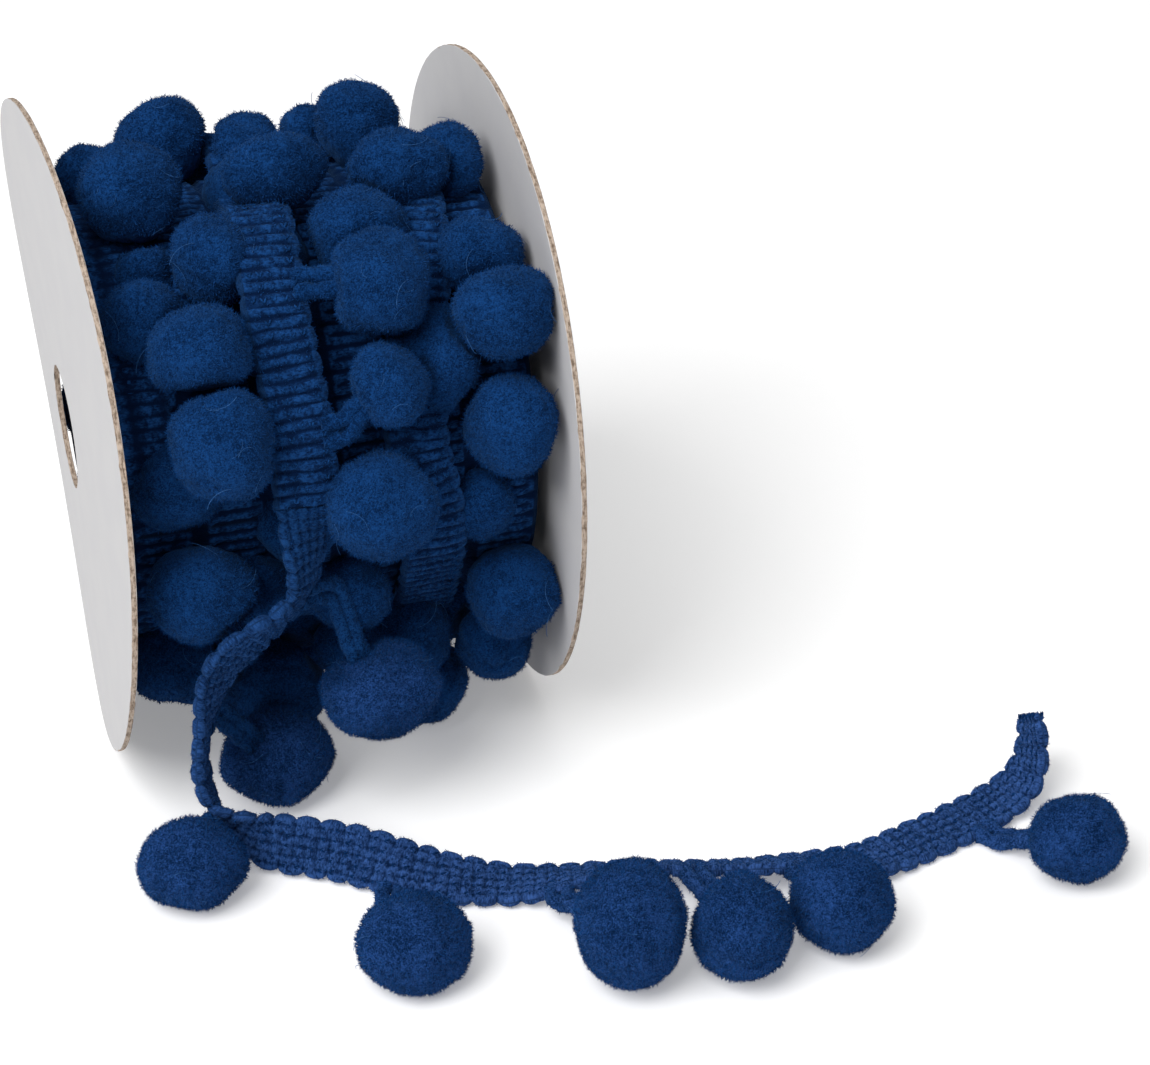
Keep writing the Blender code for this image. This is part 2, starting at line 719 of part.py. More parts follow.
def loop_objects(name, start, edge, along, ball, group):
    """The two strands of a pompom's loop, from inside the braid's edge to inside the ball."""
    start, edge, along = Vector(start), Vector(edge), Vector(along)
    leave = start + edge * (BRAID_WIDTH / 2 - ROOT_SINK)
    arm = ball.centre - leave
    for side in (-1, 1):
        offset = along * (side * CORD_SPACING / 2)
        rows = [
            tuple(leave + offset * s.spread + arm * s.way + edge * s.out * MM)
            for s in LOOP_STRAND
        ]
        points = smooth_points(rows, CORD_STEP)
        points[:, 2] = np.maximum(points[:, 2], CORD_RADIUS)
        cord_object(f"{name}_{'ab'[side > 0]}", points, CORD_RADIUS, group)


def root_object(name, ball, group):
    """The short hidden root of a pompom that isn't pressed into the wound braid by itself."""
    axle = Vector((ball.centre.x, 0, AXLE_HEIGHT))
    if (axle - ball.centre).length - ball.halves.z < DRUM_RADIUS - ROOT_SINK:
        return
    inward = (axle - ball.centre).normalized()
    foot = axle - inward * (DRUM_RADIUS - ROOT_DEPTH)
    foot.x = min(max(foot.x, DRUM_FROM + 2 * ROOT_RADIUS), DRUM_TO - 2 * ROOT_RADIUS)
    cord_object(name, (ball.centre, foot), ROOT_RADIUS, group)


# The pieces


def build_reel(parts):
    for card in CARDS:
        dress(new_object(card.name, card_mesh(card), parts), WHITE_CARD)
    core = new_object("core_tube", ring_mesh(core_profile(), CORE_SIDES), parts)
    dress(core, GREY_BOARD)


def build_wound_trim(parts, balls):
    """The wound braid, its outermost turns and every pompom on it, as one solid."""
    pieces = new_collection("wound_trim_pieces", hidden=True)
    outer_path, outer_edge = turn_rows(OUTER_TURN, WOUND_STEP)
    braid_object("outer_turn", outer_path, outer_edge, 0, pieces)
    braid_object("left_turn", *turn_rows(LEFT_TURN, WOUND_STEP), 0, pieces)
    for ball in balls:
        segments, rings = FACETS[ball.name.split("_")[0]]
        new_object(ball.name, pompom_mesh(ball, segments, rings), pieces, helper=True)
        if ball.name not in LOOPED:
            root_object(ball.name + "_root", ball, pieces)
            continue
        around = LOOPED[ball.name]
        start = at_angle(lane_at(around), around, OUTER_TURN[0].out * MM)
        turn = math.radians(around)
        along = Vector((0, math.sin(turn), math.cos(turn)))
        loop_objects(ball.name + "_loop", start, (1, 0, 0), along, ball, pieces)
    drum = new_object("wound_trim", ring_mesh(drum_profile(), DRUM_SIDES), parts)
    join_all(drum, pieces)
    dress(drum, BLUE_YARN)


def build_loose_end(parts, balls):
    """The loose end of the braid with its pompoms and their loops, as one solid."""
    pieces = new_collection("loose_end_pieces", hidden=True)
    path, edge = loose_rows(BRAID_STEP)
    _, tangent = square_to(edge, path)
    for row, ball in zip(LOOSE_POMPOMS, balls):
        new_object(ball.name, pompom_mesh(ball, *FACETS["loose"]), pieces, helper=True)
        station = round(row.root * MM / BRAID_STEP)
        loop_objects(
            ball.name + "_loop", path[station], edge[station], tangent[station], ball, pieces
        )
    strip = braid_object("loose_end", path, edge, SCALLOP_DEPTH, parts)
    strip.hide_render = False
    strip.display_type = "TEXTURED"
    join_all(strip, pieces)
    dress(strip, BLUE_YARN)


def main():
    clear_scene()
    parts = new_collection("pompom_fringe_trim")
    wound = front_pompoms() + back_pompoms() + under_pompoms()
    loose = loose_pompoms()
    settle(wound + loose)
    build_reel(parts)
    build_wound_trim(parts, wound)
    build_loose_end(parts, loose)


main()
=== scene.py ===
"""Looks of a pompom fringe trim on its card reel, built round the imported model.

Metres, +Z up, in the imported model's frame: the origin is on the floor at the foot of the left
card, +X runs along the axle, and the loose end lies towards -Y and +X. Tables are in millimetres
and degrees, and MM turns them into metres.
"""

import logging
import math
from dataclasses import dataclass, field
from enum import Enum
from typing import Any, NamedTuple

import bmesh
import bpy
import numpy as np
from bpy.types import Material, Mesh, Node, NodeSocket, NodeTree, Object
from mathutils import Matrix, Vector, noise


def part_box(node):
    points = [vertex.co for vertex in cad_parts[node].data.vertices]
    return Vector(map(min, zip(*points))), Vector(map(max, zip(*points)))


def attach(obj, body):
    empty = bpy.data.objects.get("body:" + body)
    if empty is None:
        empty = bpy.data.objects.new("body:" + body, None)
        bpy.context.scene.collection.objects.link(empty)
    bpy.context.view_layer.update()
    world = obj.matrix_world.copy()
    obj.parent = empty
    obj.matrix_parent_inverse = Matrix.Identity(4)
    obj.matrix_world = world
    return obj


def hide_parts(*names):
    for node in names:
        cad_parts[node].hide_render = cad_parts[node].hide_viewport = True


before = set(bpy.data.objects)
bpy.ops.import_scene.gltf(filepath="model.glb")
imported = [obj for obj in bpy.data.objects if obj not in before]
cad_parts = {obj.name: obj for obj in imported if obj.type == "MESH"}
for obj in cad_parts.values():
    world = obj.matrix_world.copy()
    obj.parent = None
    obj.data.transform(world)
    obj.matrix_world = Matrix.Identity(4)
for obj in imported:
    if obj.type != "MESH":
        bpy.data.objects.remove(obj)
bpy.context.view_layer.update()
BODY = "root"
MM = 0.001
GAP = 0.3 * MM
FLOOR_SKIN = 0.05 * MM

log = logging.getLogger("pompom_trim")


# Tables of places


class Turn(NamedTuple):
    """A place on a turn of braid: degrees up from the front, along the axle, out from it."""

    around: float
    along: float
    out: float


class Wound(NamedTuple):
    """A pompom on the reel, wide along the axle and tall across it."""

    name: str
    along: float
    around: float
    out: float
    wide: float
    tall: float


class Route(NamedTuple):
    """A place on the loose end, and the direction to the edge that carries the pompoms."""

    x: float
    y: float
    z: float
    edge_x: float
    edge_y: float
    edge_z: float


class Loose(NamedTuple):
    """A pompom of the loose end; a z of 0 rests on the floor, and root is along the braid."""

    name: str
    x: float
    y: float
    z: float
    wide: float
    tall: float
    root: float


class Card(NamedTuple):
    """A card of the reel: its place along the axle and how it is warped."""

    node: str
    place: float
    bow: float
    twist: float
    lean: float


class Strand(NamedTuple):
    """A place on a loop's strand: spread from its twin, way to the pompom, out from the braid."""

    spread: float
    way: float
    out: float


CARDS = (
    Card("left_flange", -0.8, 1.3, -3.4, -0.8),
    Card("right_flange", 77.2, -1.0, -1.2, -1.15),
)
FRONT_POMPOMS = (
    Wound("top_a", 22.2, 115, 46.4, 17.0, 14.9),
    Wound("top_b", 11.3, 80, 47.5, 18.0, 17.2),
    Wound("top_c", 7.6, 108, 42.4, 13.0, 13.0),
    Wound("top_d", 35.1, 112, 43.4, 13.8, 13.6),
    Wound("top_e", 36.2, 80, 47.6, 18.9, 12.2),
    Wound("top_f", 54.7, 106, 46.7, 15.2, 15.5),
    Wound("top_g", 47.6, 117, 45.0, 11.5, 11.5),
    Wound("top_h", 56.6, 78, 46.4, 18.0, 13.6),
    Wound("top_i", 67.2, 86, 43.4, 13.0, 15.0),
    Wound("right_a", 47.4, 64.5, 44.4, 17.9, 16.0),
    Wound("right_b", 47.5, 48.7, 50.5, 18.2, 18.8),
    Wound("right_c", 66.3, 54.2, 43.3, 15.2, 14.0),
    Wound("right_d", 67.1, 39, 50.4, 17.7, 15.9),
    Wound("right_e", 56.0, 34, 41.0, 15.7, 19.4),
    Wound("right_f", 45.7, 29.2, 50.4, 14.8, 14.8),
    Wound("right_g", 67.0, 17.5, 46.0, 15.7, 17.9),
    Wound("right_h", 42.8, 5.5, 49.0, 19.6, 18.3),
    Wound("right_i", 62.0, -5, 40.0, 12.6, 12.8),
    Wound("right_j", 67.4, -27.5, 46.0, 16.6, 17.6),
    Wound("left_a", 22.4, 61, 45.0, 14.5, 16.0),
    Wound("left_b", 12.1, 67, 38.5, 11.5, 11.5),
    Wound("left_c", 9.0, 51, 41.6, 14.8, 14.8),
    Wound("left_d", 16.3, 40.5, 50.5, 18.4, 15.8),
    Wound("left_e", 16.8, 22.5, 50.5, 18.2, 19.8),
    Wound("left_f", 10.6, 12, 39.0, 16.2, 16.2),
    Wound("left_g", 11.8, -10.5, 47.0, 18.5, 16.5),
    Wound("left_h", 9.5, -45, 43.5, 17.0, 16.0),
    Wound("left_i", 22.8, -21, 38.5, 15.3, 15.3),
    Wound("low_a", 51.1, -49, 46.0, 16.4, 17.0),
    Wound("low_b", 54.4, -62, 54.8, 17.0, 17.0),
    Wound("low_c", 27.7, -65, 52.0, 19.4, 18.6),
    Wound("low_d", 39.2, -26, 42.0, 14.6, 14.6),
    Wound("low_e", 65.2, -52, 49.1, 15.0, 14.0),
    Wound("low_f", 59.4, -58, 41.5, 15.6, 15.0),
    Wound("low_g", 41.0, -60, 46.0, 13.5, 13.5),
    Wound("low_h", 19.5, -45, 41.0, 13.0, 13.0),
)
# The front pompoms whose loops show, and at how many degrees each leaves the outermost turn.
LOOPED = {"right_b": 51.0, "right_f": 22.0}
OUTER_TURN = (
    Turn(8, 30.3, 49),
    Turn(24, 30.6, 49),
    Turn(46, 29.8, 49),
    Turn(66, 30.7, 49),
    Turn(82, 31.4, 41),
    Turn(100, 33.0, 40),
    Turn(125, 35.0, 46),
    Turn(180, 40.0, 47),
    Turn(225, 46.0, 46),
    Turn(270, 52.0, 45),
    Turn(300, 54.0, 43),
    Turn(342, 53.0, 43),
    Turn(360, 52.4, 44),
    Turn(378, 50.6, 44),
    Turn(408, 54.6, 44),
    Turn(427, 57.4, 44),
    Turn(450, 60.0, 39),
)
LEFT_TURN = (
    Turn(-40, 8.0, 38.5),
    Turn(20, 7.0, 39.5),
    Turn(80, 6.5, 39.5),
    Turn(140, 6.5, 39.5),
    Turn(200, 7.5, 38.5),
)
LOOSE_ROUTE = (
    Route(30.3, -48.6, 64.6, 1.0, 0.0, 0.0),
    Route(30.2, -48.9, 62.0, 1.0, 0.1, 0.0),
    Route(30.0, -49.0, 59.4, 0.92, 0.35, 0.0),
    Route(29.7, -49.0, 56.8, 0.8, 0.6, 0.0),
    Route(29.5, -48.9, 53.8, 0.68, 0.73, 0.0),
    Route(29.3, -48.8, 50.6, 0.62, 0.78, 0.0),
    Route(28.8, -49.0, 48.0, 0.6, 0.78, -0.15),
    Route(27.5, -49.8, 46.0, 0.5, 0.75, -0.4),
    Route(25.3, -50.9, 44.9, 0.35, 0.75, -0.5),
    Route(21.9, -52.2, 44.0, 0.4, 0.6, -0.65),
    Route(18.1, -52.2, 42.0, 0.42, 0.5, -0.74),
    Route(14.5, -51.0, 38.0, 0.72, 0.5, -0.45),
    Route(12.3, -49.6, 31.6, 0.65, 0.72, -0.2),
    Route(10.6, -49.9, 25.9, 0.35, 0.9, -0.27),
    Route(9.1, -51.0, 20.6, 0.29, 0.92, -0.27),
    Route(8.8, -52.4, 16.6, 0.29, 0.9, -0.3),
    Route(9.6, -53.8, 12.6, 0.25, 0.85, -0.45),
    Route(11.4, -55.4, 9.4, 0.1, 0.65, -0.75),
    Route(14.4, -57.4, 7.0, -0.1, 0.15, -0.98),
    Route(18.8, -59.6, 0.0, -0.16, -0.3, -0.94),
    Route(24.2, -61.9, 0.0, -0.16, -0.5, -0.85),
    Route(31.5, -66.2, 0.0, -0.16, -0.55, -0.82),
    Route(38.5, -71.0, 0.0, -0.2, -0.82, -0.57),
    Route(46.5, -74.4, 0.0, -0.25, -0.93, -0.25),
    Route(54.3, -76.8, 0.0, -0.27, -0.96, -0.03),
    Route(61.2, -79.4, 0.0, -0.25, -0.95, 0.14),
    Route(67.3, -80.6, 0.0, -0.25, -0.88, 0.4),
    Route(77.4, -82.4, 0.0, -0.25, -0.81, 0.54),
    Route(86.9, -85.7, 0.0, -0.25, -0.81, 0.54),
    Route(95.2, -87.6, 0.0, -0.25, -0.81, 0.54),
    Route(104.0, -88.8, 0.0, -0.25, -0.86, 0.45),
    Route(111.6, -89.8, 0.0, -0.2, -0.95, 0.25),
    Route(117.5, -89.4, 0.0, 0.1, -0.98, 0.1),
    Route(123.0, -87.4, 0.0, 0.33, -0.94, 0.0),
    Route(131.4, -85.0, 0.0, 0.3, -0.95, 0.0),
    Route(140.6, -81.9, 0.0, 0.28, -0.96, 0.03),
    Route(146.2, -80.0, 1.9, 0.27, -0.95, 0.1),
    Route(149.2, -79.1, 3.9, 0.22, -0.94, 0.2),
    Route(150.6, -78.2, 6.6, 0.13, -0.9, 0.36),
    Route(151.5, -76.6, 9.0, 0.05, -0.86, 0.47),
    Route(151.9, -75.0, 11.4, -0.02, -0.84, 0.5),
    Route(152.1, -73.3, 13.6, -0.06, -0.84, 0.5),
)
LOOSE_POMPOMS = (
    Loose("loose_a", 41.5, -48.1, 25.5, 20.8, 17.0, 17.5),
    Loose("loose_b", 24.0, -38.8, 0.0, 20.1, 17.0, 49.0),
    Loose("loose_c", 4.8, -62.9, 0.0, 19.2, 14.6, 66.0),
    Loose("loose_d", 35.4, -93.9, 0.0, 20.0, 15.6, 96.7),
    Loose("loose_e", 69.0, -103.9, 0.0, 18.2, 22.2, 123.0),
    Loose("loose_f", 85.9, -107.6, 0.0, 16.9, 17.7, 147.5),
    Loose("loose_g", 105.1, -105.4, 0.0, 17.9, 16.5, 163.5),
    Loose("loose_h", 149.0, -101.5, 0.0, 16.7, 14.9, 198.5),
)
# How many times as far as the others a loop bows out.
BOWED = {"loose_a": 1.9}
LOOP_STRAND = (
    Strand(1.0, 0.0, 0.0),
    Strand(1.0, 0.0, 4.0),
    Strand(0.85, 0.55, 1.0),
    Strand(0.75, 0.85, 0.0),
)


class Group(Enum):
    """Which pompoms lie where, with the first seed of each group's lumps."""

    FRONT = 0
    BACK = 100
    UNDER = 200
    LOOSE = 300


# Node trees


class Signal:
    """A socket's value, on which arithmetic adds Math nodes."""

    def __init__(self, graph: "Graph", socket: NodeSocket) -> None:
        """Wraps one output socket of the graph."""
        self.graph = graph
        self.socket = socket

    def math(self, operation: str, *values: Any) -> "Signal":
        """The result of one Math node.

        Args:
            operation: Blender's name of the operation.
            values: numbers or signals, in the order of the node's sockets.

        Returns:
            The node's output.
        """
        node = self.graph.add("ShaderNodeMath", {"operation": operation}, dict(enumerate(values)))
        return Signal(self.graph, node.outputs[0])

    def __add__(self, other: Any) -> "Signal":
        """Sum."""
        return self.math("ADD", self, other)

    def __sub__(self, other: Any) -> "Signal":
        """Difference."""
        return self.math("SUBTRACT", self, other)

    def __rsub__(self, other: Any) -> "Signal":
        """Difference from a number."""
        return self.math("SUBTRACT", other, self)

    def __mul__(self, other: Any) -> "Signal":
        """Product."""
        return self.math("MULTIPLY", self, other)

    def __truediv__(self, other: Any) -> "Signal":
        """Quotient."""
        return self.math("DIVIDE", self, other)

    def __rtruediv__(self, other: Any) -> "Signal":
        """Quotient of a number."""
        return self.math("DIVIDE", other, self)

    __radd__ = __add__
    __rmul__ = __mul__

    def step(self, low: float, high: float) -> "Signal":
        """A smooth step from 0 at low to 1 at high.

        Args:
            low: the value that gives 0.
            high: the value that gives 1.

        Returns:
            A signal from 0 to 1.
        """
        node = self.graph.add(
            "ShaderNodeMapRange",
            {"interpolation_type": "SMOOTHSTEP"},
            {"Value": self, "From Min": low, "From Max": high},
        )
        return Signal(self.graph, node.outputs[0])


class Graph:
    """A node tree, shader or geometry, as it is built."""

    def __init__(self, tree: NodeTree) -> None:
        """Starts with an empty tree."""
        self.tree = tree
        tree.nodes.clear()

    def add(
        self,
        kind: str,
        settings: dict[str, Any] | None = None,
        inputs: dict[str | int, Any] | None = None,
    ) -> Node:
        """Makes a node.

        Args:
            kind: the node's type.
            settings: its own settings, set first.
            inputs: a number, colour, socket or signal for each input's name or index.

        Returns:
            The new node.
        """
        node = self.tree.nodes.new(kind)
        for key, value in (settings or {}).items():
            setattr(node, key, value)
        for key, value in (inputs or {}).items():
            if isinstance(value, Signal):
                value = value.socket
            if isinstance(value, NodeSocket):
                self.tree.links.new(value, node.inputs[key])
            else:
                node.inputs[key].default_value = value
        return node

    def out(self, node: Node, key: str | int = 0) -> Signal:
        """One output of a node as a signal."""
        return Signal(self, node.outputs[key])

    def object_place(self) -> NodeSocket:
        """The piece's own coordinates."""
        return self.add("ShaderNodeTexCoord").outputs["Object"]

    def attribute(self, name: str) -> Signal:
        """A number stored on the piece."""
        return self.out(self.add("ShaderNodeAttribute", {"attribute_name": name}), "Fac")

    def grain(self, place: Any, size: float, detail: float = 2.0, roughness: float = 0.5) -> Signal:
        """Noise with lumps of about the given size.

        Args:
            place: the coordinates.
            size: the lumps' size in the coordinates' own unit.
            detail: how many finer layers there are.
            roughness: how strong they are.

        Returns:
            The noise, about 0.5.
        """
        node = self.add(
            "ShaderNodeTexNoise",
            None,
            {"Vector": place, "Scale": 1 / size, "Detail": detail, "Roughness": roughness},
        )
        return self.out(node, 0)

    def stretched(self, place: Any, scale: tuple[float, float, float]) -> NodeSocket:
        """Coordinates with each axis scaled."""
        node = self.add("ShaderNodeMapping", None, {"Vector": place, "Scale": scale})
        return node.outputs[0]

    def mixed(self, share: Signal, first: Any, second: Any) -> NodeSocket:
        """A colour between two, by share.

        Args:
            share: 0 for the first colour and 1 for the second.
            first: a colour, or a socket that gives one.
            second: the other colour.

        Returns:
            The mixed colour.
        """
        pair = [(*c, 1.0) if isinstance(c, tuple) and len(c) == 3 else c for c in (first, second)]
        node = self.add("ShaderNodeMix", {"data_type": "RGBA"}, {0: share, 6: pair[0], 7: pair[1]})
        return node.outputs[2]

    def faded(self, near: Any, far: Any) -> Any:
        """The colour near, which turns to far along a piece's away attribute if far is given; this
        turn is painted light and shade.

        Args:
            near: the colour where away is 0.
            far: the colour where away is 1, or None.

        Returns:
            The colour.
        """
        if far is None:
            return near
        return self.mixed(self.attribute("away"), near, far)

    def bump(self, height: Signal, depth: float, strength: float) -> NodeSocket:
        """A normal that is raised by height, by depth metres at most.

        Args:
            height: how high the surface stands, from 0 to 1.
            depth: how far a height of 1 stands out.
            strength: how strongly it shows.

        Returns:
            The normal.
        """
        node = self.add(
            "ShaderNodeBump", None, {"Height": height, "Distance": depth, "Strength": strength}
        )
        return node.outputs[0]


def new_shader(name: str) -> tuple[Material, Graph]:
    """An empty material and its graph.

    Args:
        name: the material's name.

    Returns:
        The material and its graph.
    """
    material = bpy.data.materials.new(name)
    material.use_nodes = True
    return material, Graph(material.node_tree)


def close_shader(graph: Graph, inputs: dict[str | int, Any]) -> None:
    """Ends a graph in a Principled shader with these inputs.

    Args:
        graph: the material's graph.
        inputs: what goes into the shader's inputs.
    """
    shader = graph.add("ShaderNodeBsdfPrincipled", None, inputs)
    graph.add("ShaderNodeOutputMaterial", None, {"Surface": shader.outputs[0]})


# Finishes


@dataclass(frozen=True)
class FeltFinish:
    """Clipped wool: matte, mottled at the size of its tufts, and paler where it is seen edge-on.

    The colour goes from light to far as a piece's away attribute goes from 0 to 1: painted light,
    paler where away is high.
    """

    dark: tuple[float, float, float] = (0.0012, 0.013, 0.054)
    light: tuple[float, float, float] = (0.0062, 0.048, 0.18)
    far: tuple[float, float, float] | None = None
    tuft: float = 0.9 * MM
    fibre: float = 0.3 * MM
    sheen: float = 0.1
    contrast: float = 1.4

    def material(self, name: str) -> Material:
        """The material of a pompom.

        Args:
            name: the material's name.

        Returns:
            The material.
        """
        material, graph = new_shader(name)
        place = graph.object_place()
        blotch = graph.grain(place, 6 * self.tuft)
        tuft = graph.grain(place, self.tuft, 2.0, 0.6)
        fibre = graph.grain(place, self.fibre, 3.0, 0.7)
        shade = (fibre - 0.5) * 2.1 + (tuft - 0.5) * 0.8 + (blotch - 0.5) * 0.6
        height = fibre * 0.6 + tuft * 0.6
        shade = (0.5 + shade * self.contrast).step(0.0, 1.0)
        raised = graph.faded(self.light, self.far)
        close_shader(
            graph,
            {
                "Base Color": graph.mixed(shade, self.dark, raised),
                "Roughness": 0.95,
                "Specular IOR Level": 0.03,
                "Sheen Weight": self.sheen,
                "Sheen Roughness": 0.5,
                "Sheen Tint": (0.2, 0.5, 1.0, 1.0),
                "Normal": graph.bump(height, 0.5 * MM, 0.6),
            },
        )
        return material


@dataclass(frozen=True)
class YarnFinish:
    """Spun wool of the braid: fine fibres along the yarn, and painted shade in its grooves and
    where it is drawn in.

    The colour goes from light to far along the strip, as its away attribute goes from 0 to 1:
    painted light, paler further from the reel.
    """

    dark: tuple[float, float, float] = (0.0012, 0.0105, 0.046)
    light: tuple[float, float, float] = (0.0085, 0.058, 0.21)
    far: tuple[float, float, float] | None = None
    fibre: float = 0.3
    knot: float = 1.3
    lumps: float = 1.3
    # Painted shade: across the groove range of crest the colour is darkened, down to the last share
    # at the bottom of the grooves.
    groove: tuple[float, float] = (0.45, 0.92)
    deepest: float = 0.02

    def material(self, name: str) -> Material:
        """The material of a strip, on the piece's own map in millimetres.

        Args:
            name: the material's name.

        Returns:
            The material.
        """
        material, graph = new_shader(name)
        place = graph.add("ShaderNodeUVMap").outputs[0]
        fibre = graph.grain(graph.stretched(place, (1.0, 0.45, 1.0)), self.fibre, 3.0, 0.7)
        speck = graph.grain(place, 2.5 * self.fibre, 2.0)
        knot = graph.grain(place, self.knot, 1.0)
        blotch = graph.grain(place, 25 * self.fibre, 1.0)
        shade = 0.55 + (fibre - 0.5) * 2.2 + (speck - 0.5) * 1.0 + (blotch - 0.5) * 0.5
        shade = shade + (knot - 0.5) * self.lumps
        # Painted shade: the colour is darkened in the grooves between the cords and at the stitch
        # lines, where crest is low.
        crest = graph.attribute("crest").step(*self.groove)
        shade = shade * (self.deepest + (1 - self.deepest) * crest)
        raised = graph.faded(self.light, self.far)
        close_shader(
            graph,
            {
                "Base Color": graph.mixed(shade.step(0.0, 1.0), self.dark, raised),
                "Roughness": 0.9,
                "Specular IOR Level": 0.05,
                "Sheen Weight": 0.08,
                "Sheen Roughness": 0.5,
                "Sheen Tint": (0.2, 0.5, 1.0, 1.0),
                "Normal": graph.bump(
                    fibre * 0.8 + speck * 0.5 + knot * self.lumps, 0.35 * MM, 0.8
                ),
            },
        )
        return material


@dataclass(frozen=True)
class CardFinish:
    """White paper on brown board: a faint mottle on the faces and bare fibres at the cut edges."""

    paper: tuple[float, float, float] = (0.58, 0.575, 0.58)
    shaded: tuple[float, float, float] = (0.56, 0.555, 0.565)
    board: tuple[float, float, float] = (0.17, 0.12, 0.085)
    torn: tuple[float, float, float] = (0.52, 0.42, 0.34)

    def material(self, name: str) -> Material:
        """The material of a card; its cut attribute is 1 on the cut edges.

        Args:
            name: the material's name.

        Returns:
            The material.
        """
        material, graph = new_shader(name)
        place = graph.object_place()
        cut = graph.attribute("cut")
        pulp = graph.grain(place, 9 * MM, 3.0, 0.5)
        fleck = graph.grain(place, 0.6 * MM, 3.0, 0.6)
        layer = graph.grain(graph.stretched(place, (5.0, 1.0, 1.0)), 1.6 * MM, 3.0, 0.6)
        chip = graph.grain(place, 3.5 * MM, 2.0, 0.6)
        paper = graph.mixed(pulp.step(0.3, 0.7), self.shaded, self.paper)
        board = graph.mixed((layer * 0.6 + fleck * 0.4).step(0.36, 0.6), self.board, self.torn)
        edge = (cut + (fleck - 0.5) * 0.35 + (chip - 0.5) * 0.9).step(0.46, 0.54)
        close_shader(
            graph,
            {
                "Base Color": graph.mixed(edge, paper, board),
                "Roughness": 0.62 + 0.3 * edge,
                "Specular IOR Level": 0.2,
                "Normal": graph.bump(fleck * (0.1 + 0.9 * edge), 0.15 * MM, 0.5),
            },
        )
        return material


@dataclass(frozen=True)
class BoardFinish:
    """Bare grey-brown board of the core."""

    dark: tuple[float, float, float] = (0.16, 0.12, 0.09)
    light: tuple[float, float, float] = (0.36, 0.3, 0.24)

    def material(self, name: str) -> Material:
        """The material of the core.

        Args:
            name: the material's name.

        Returns:
            The material.
        """
        material, graph = new_shader(name)
        place = graph.object_place()
        layer = graph.grain(graph.stretched(place, (0.3, 1.0, 1.0)), 2 * MM, 4.0, 0.6)
        fleck = graph.grain(place, 0.4 * MM)
        close_shader(
            graph,
            {
                "Base Color": graph.mixed(layer.step(0.3, 0.7), self.dark, self.light),
                "Roughness": 0.9,
                "Normal": graph.bump(layer + fleck * 0.5, 0.2 * MM, 0.5),
            },
        )
        return material


@dataclass(frozen=True)
class PlainFinish:
    """A matte surface of one colour that glows a little, for the floor."""

    colour: tuple[float, float, float] = (0.93, 0.93, 0.93)
    glow: float = 0.28

    def material(self, name: str) -> Material:
        """The material of the floor.

        Args:
            name: the material's name.

        Returns:
            The material.
        """
        material, graph = new_shader(name)
        close_shader(
            graph,
            {
                "Base Color": (*self.colour, 1.0),
                "Roughness": 0.9,
                "Emission Color": (*self.colour, 1.0),
                "Emission Strength": self.glow,
            },
        )
        return material


# Geometry trees


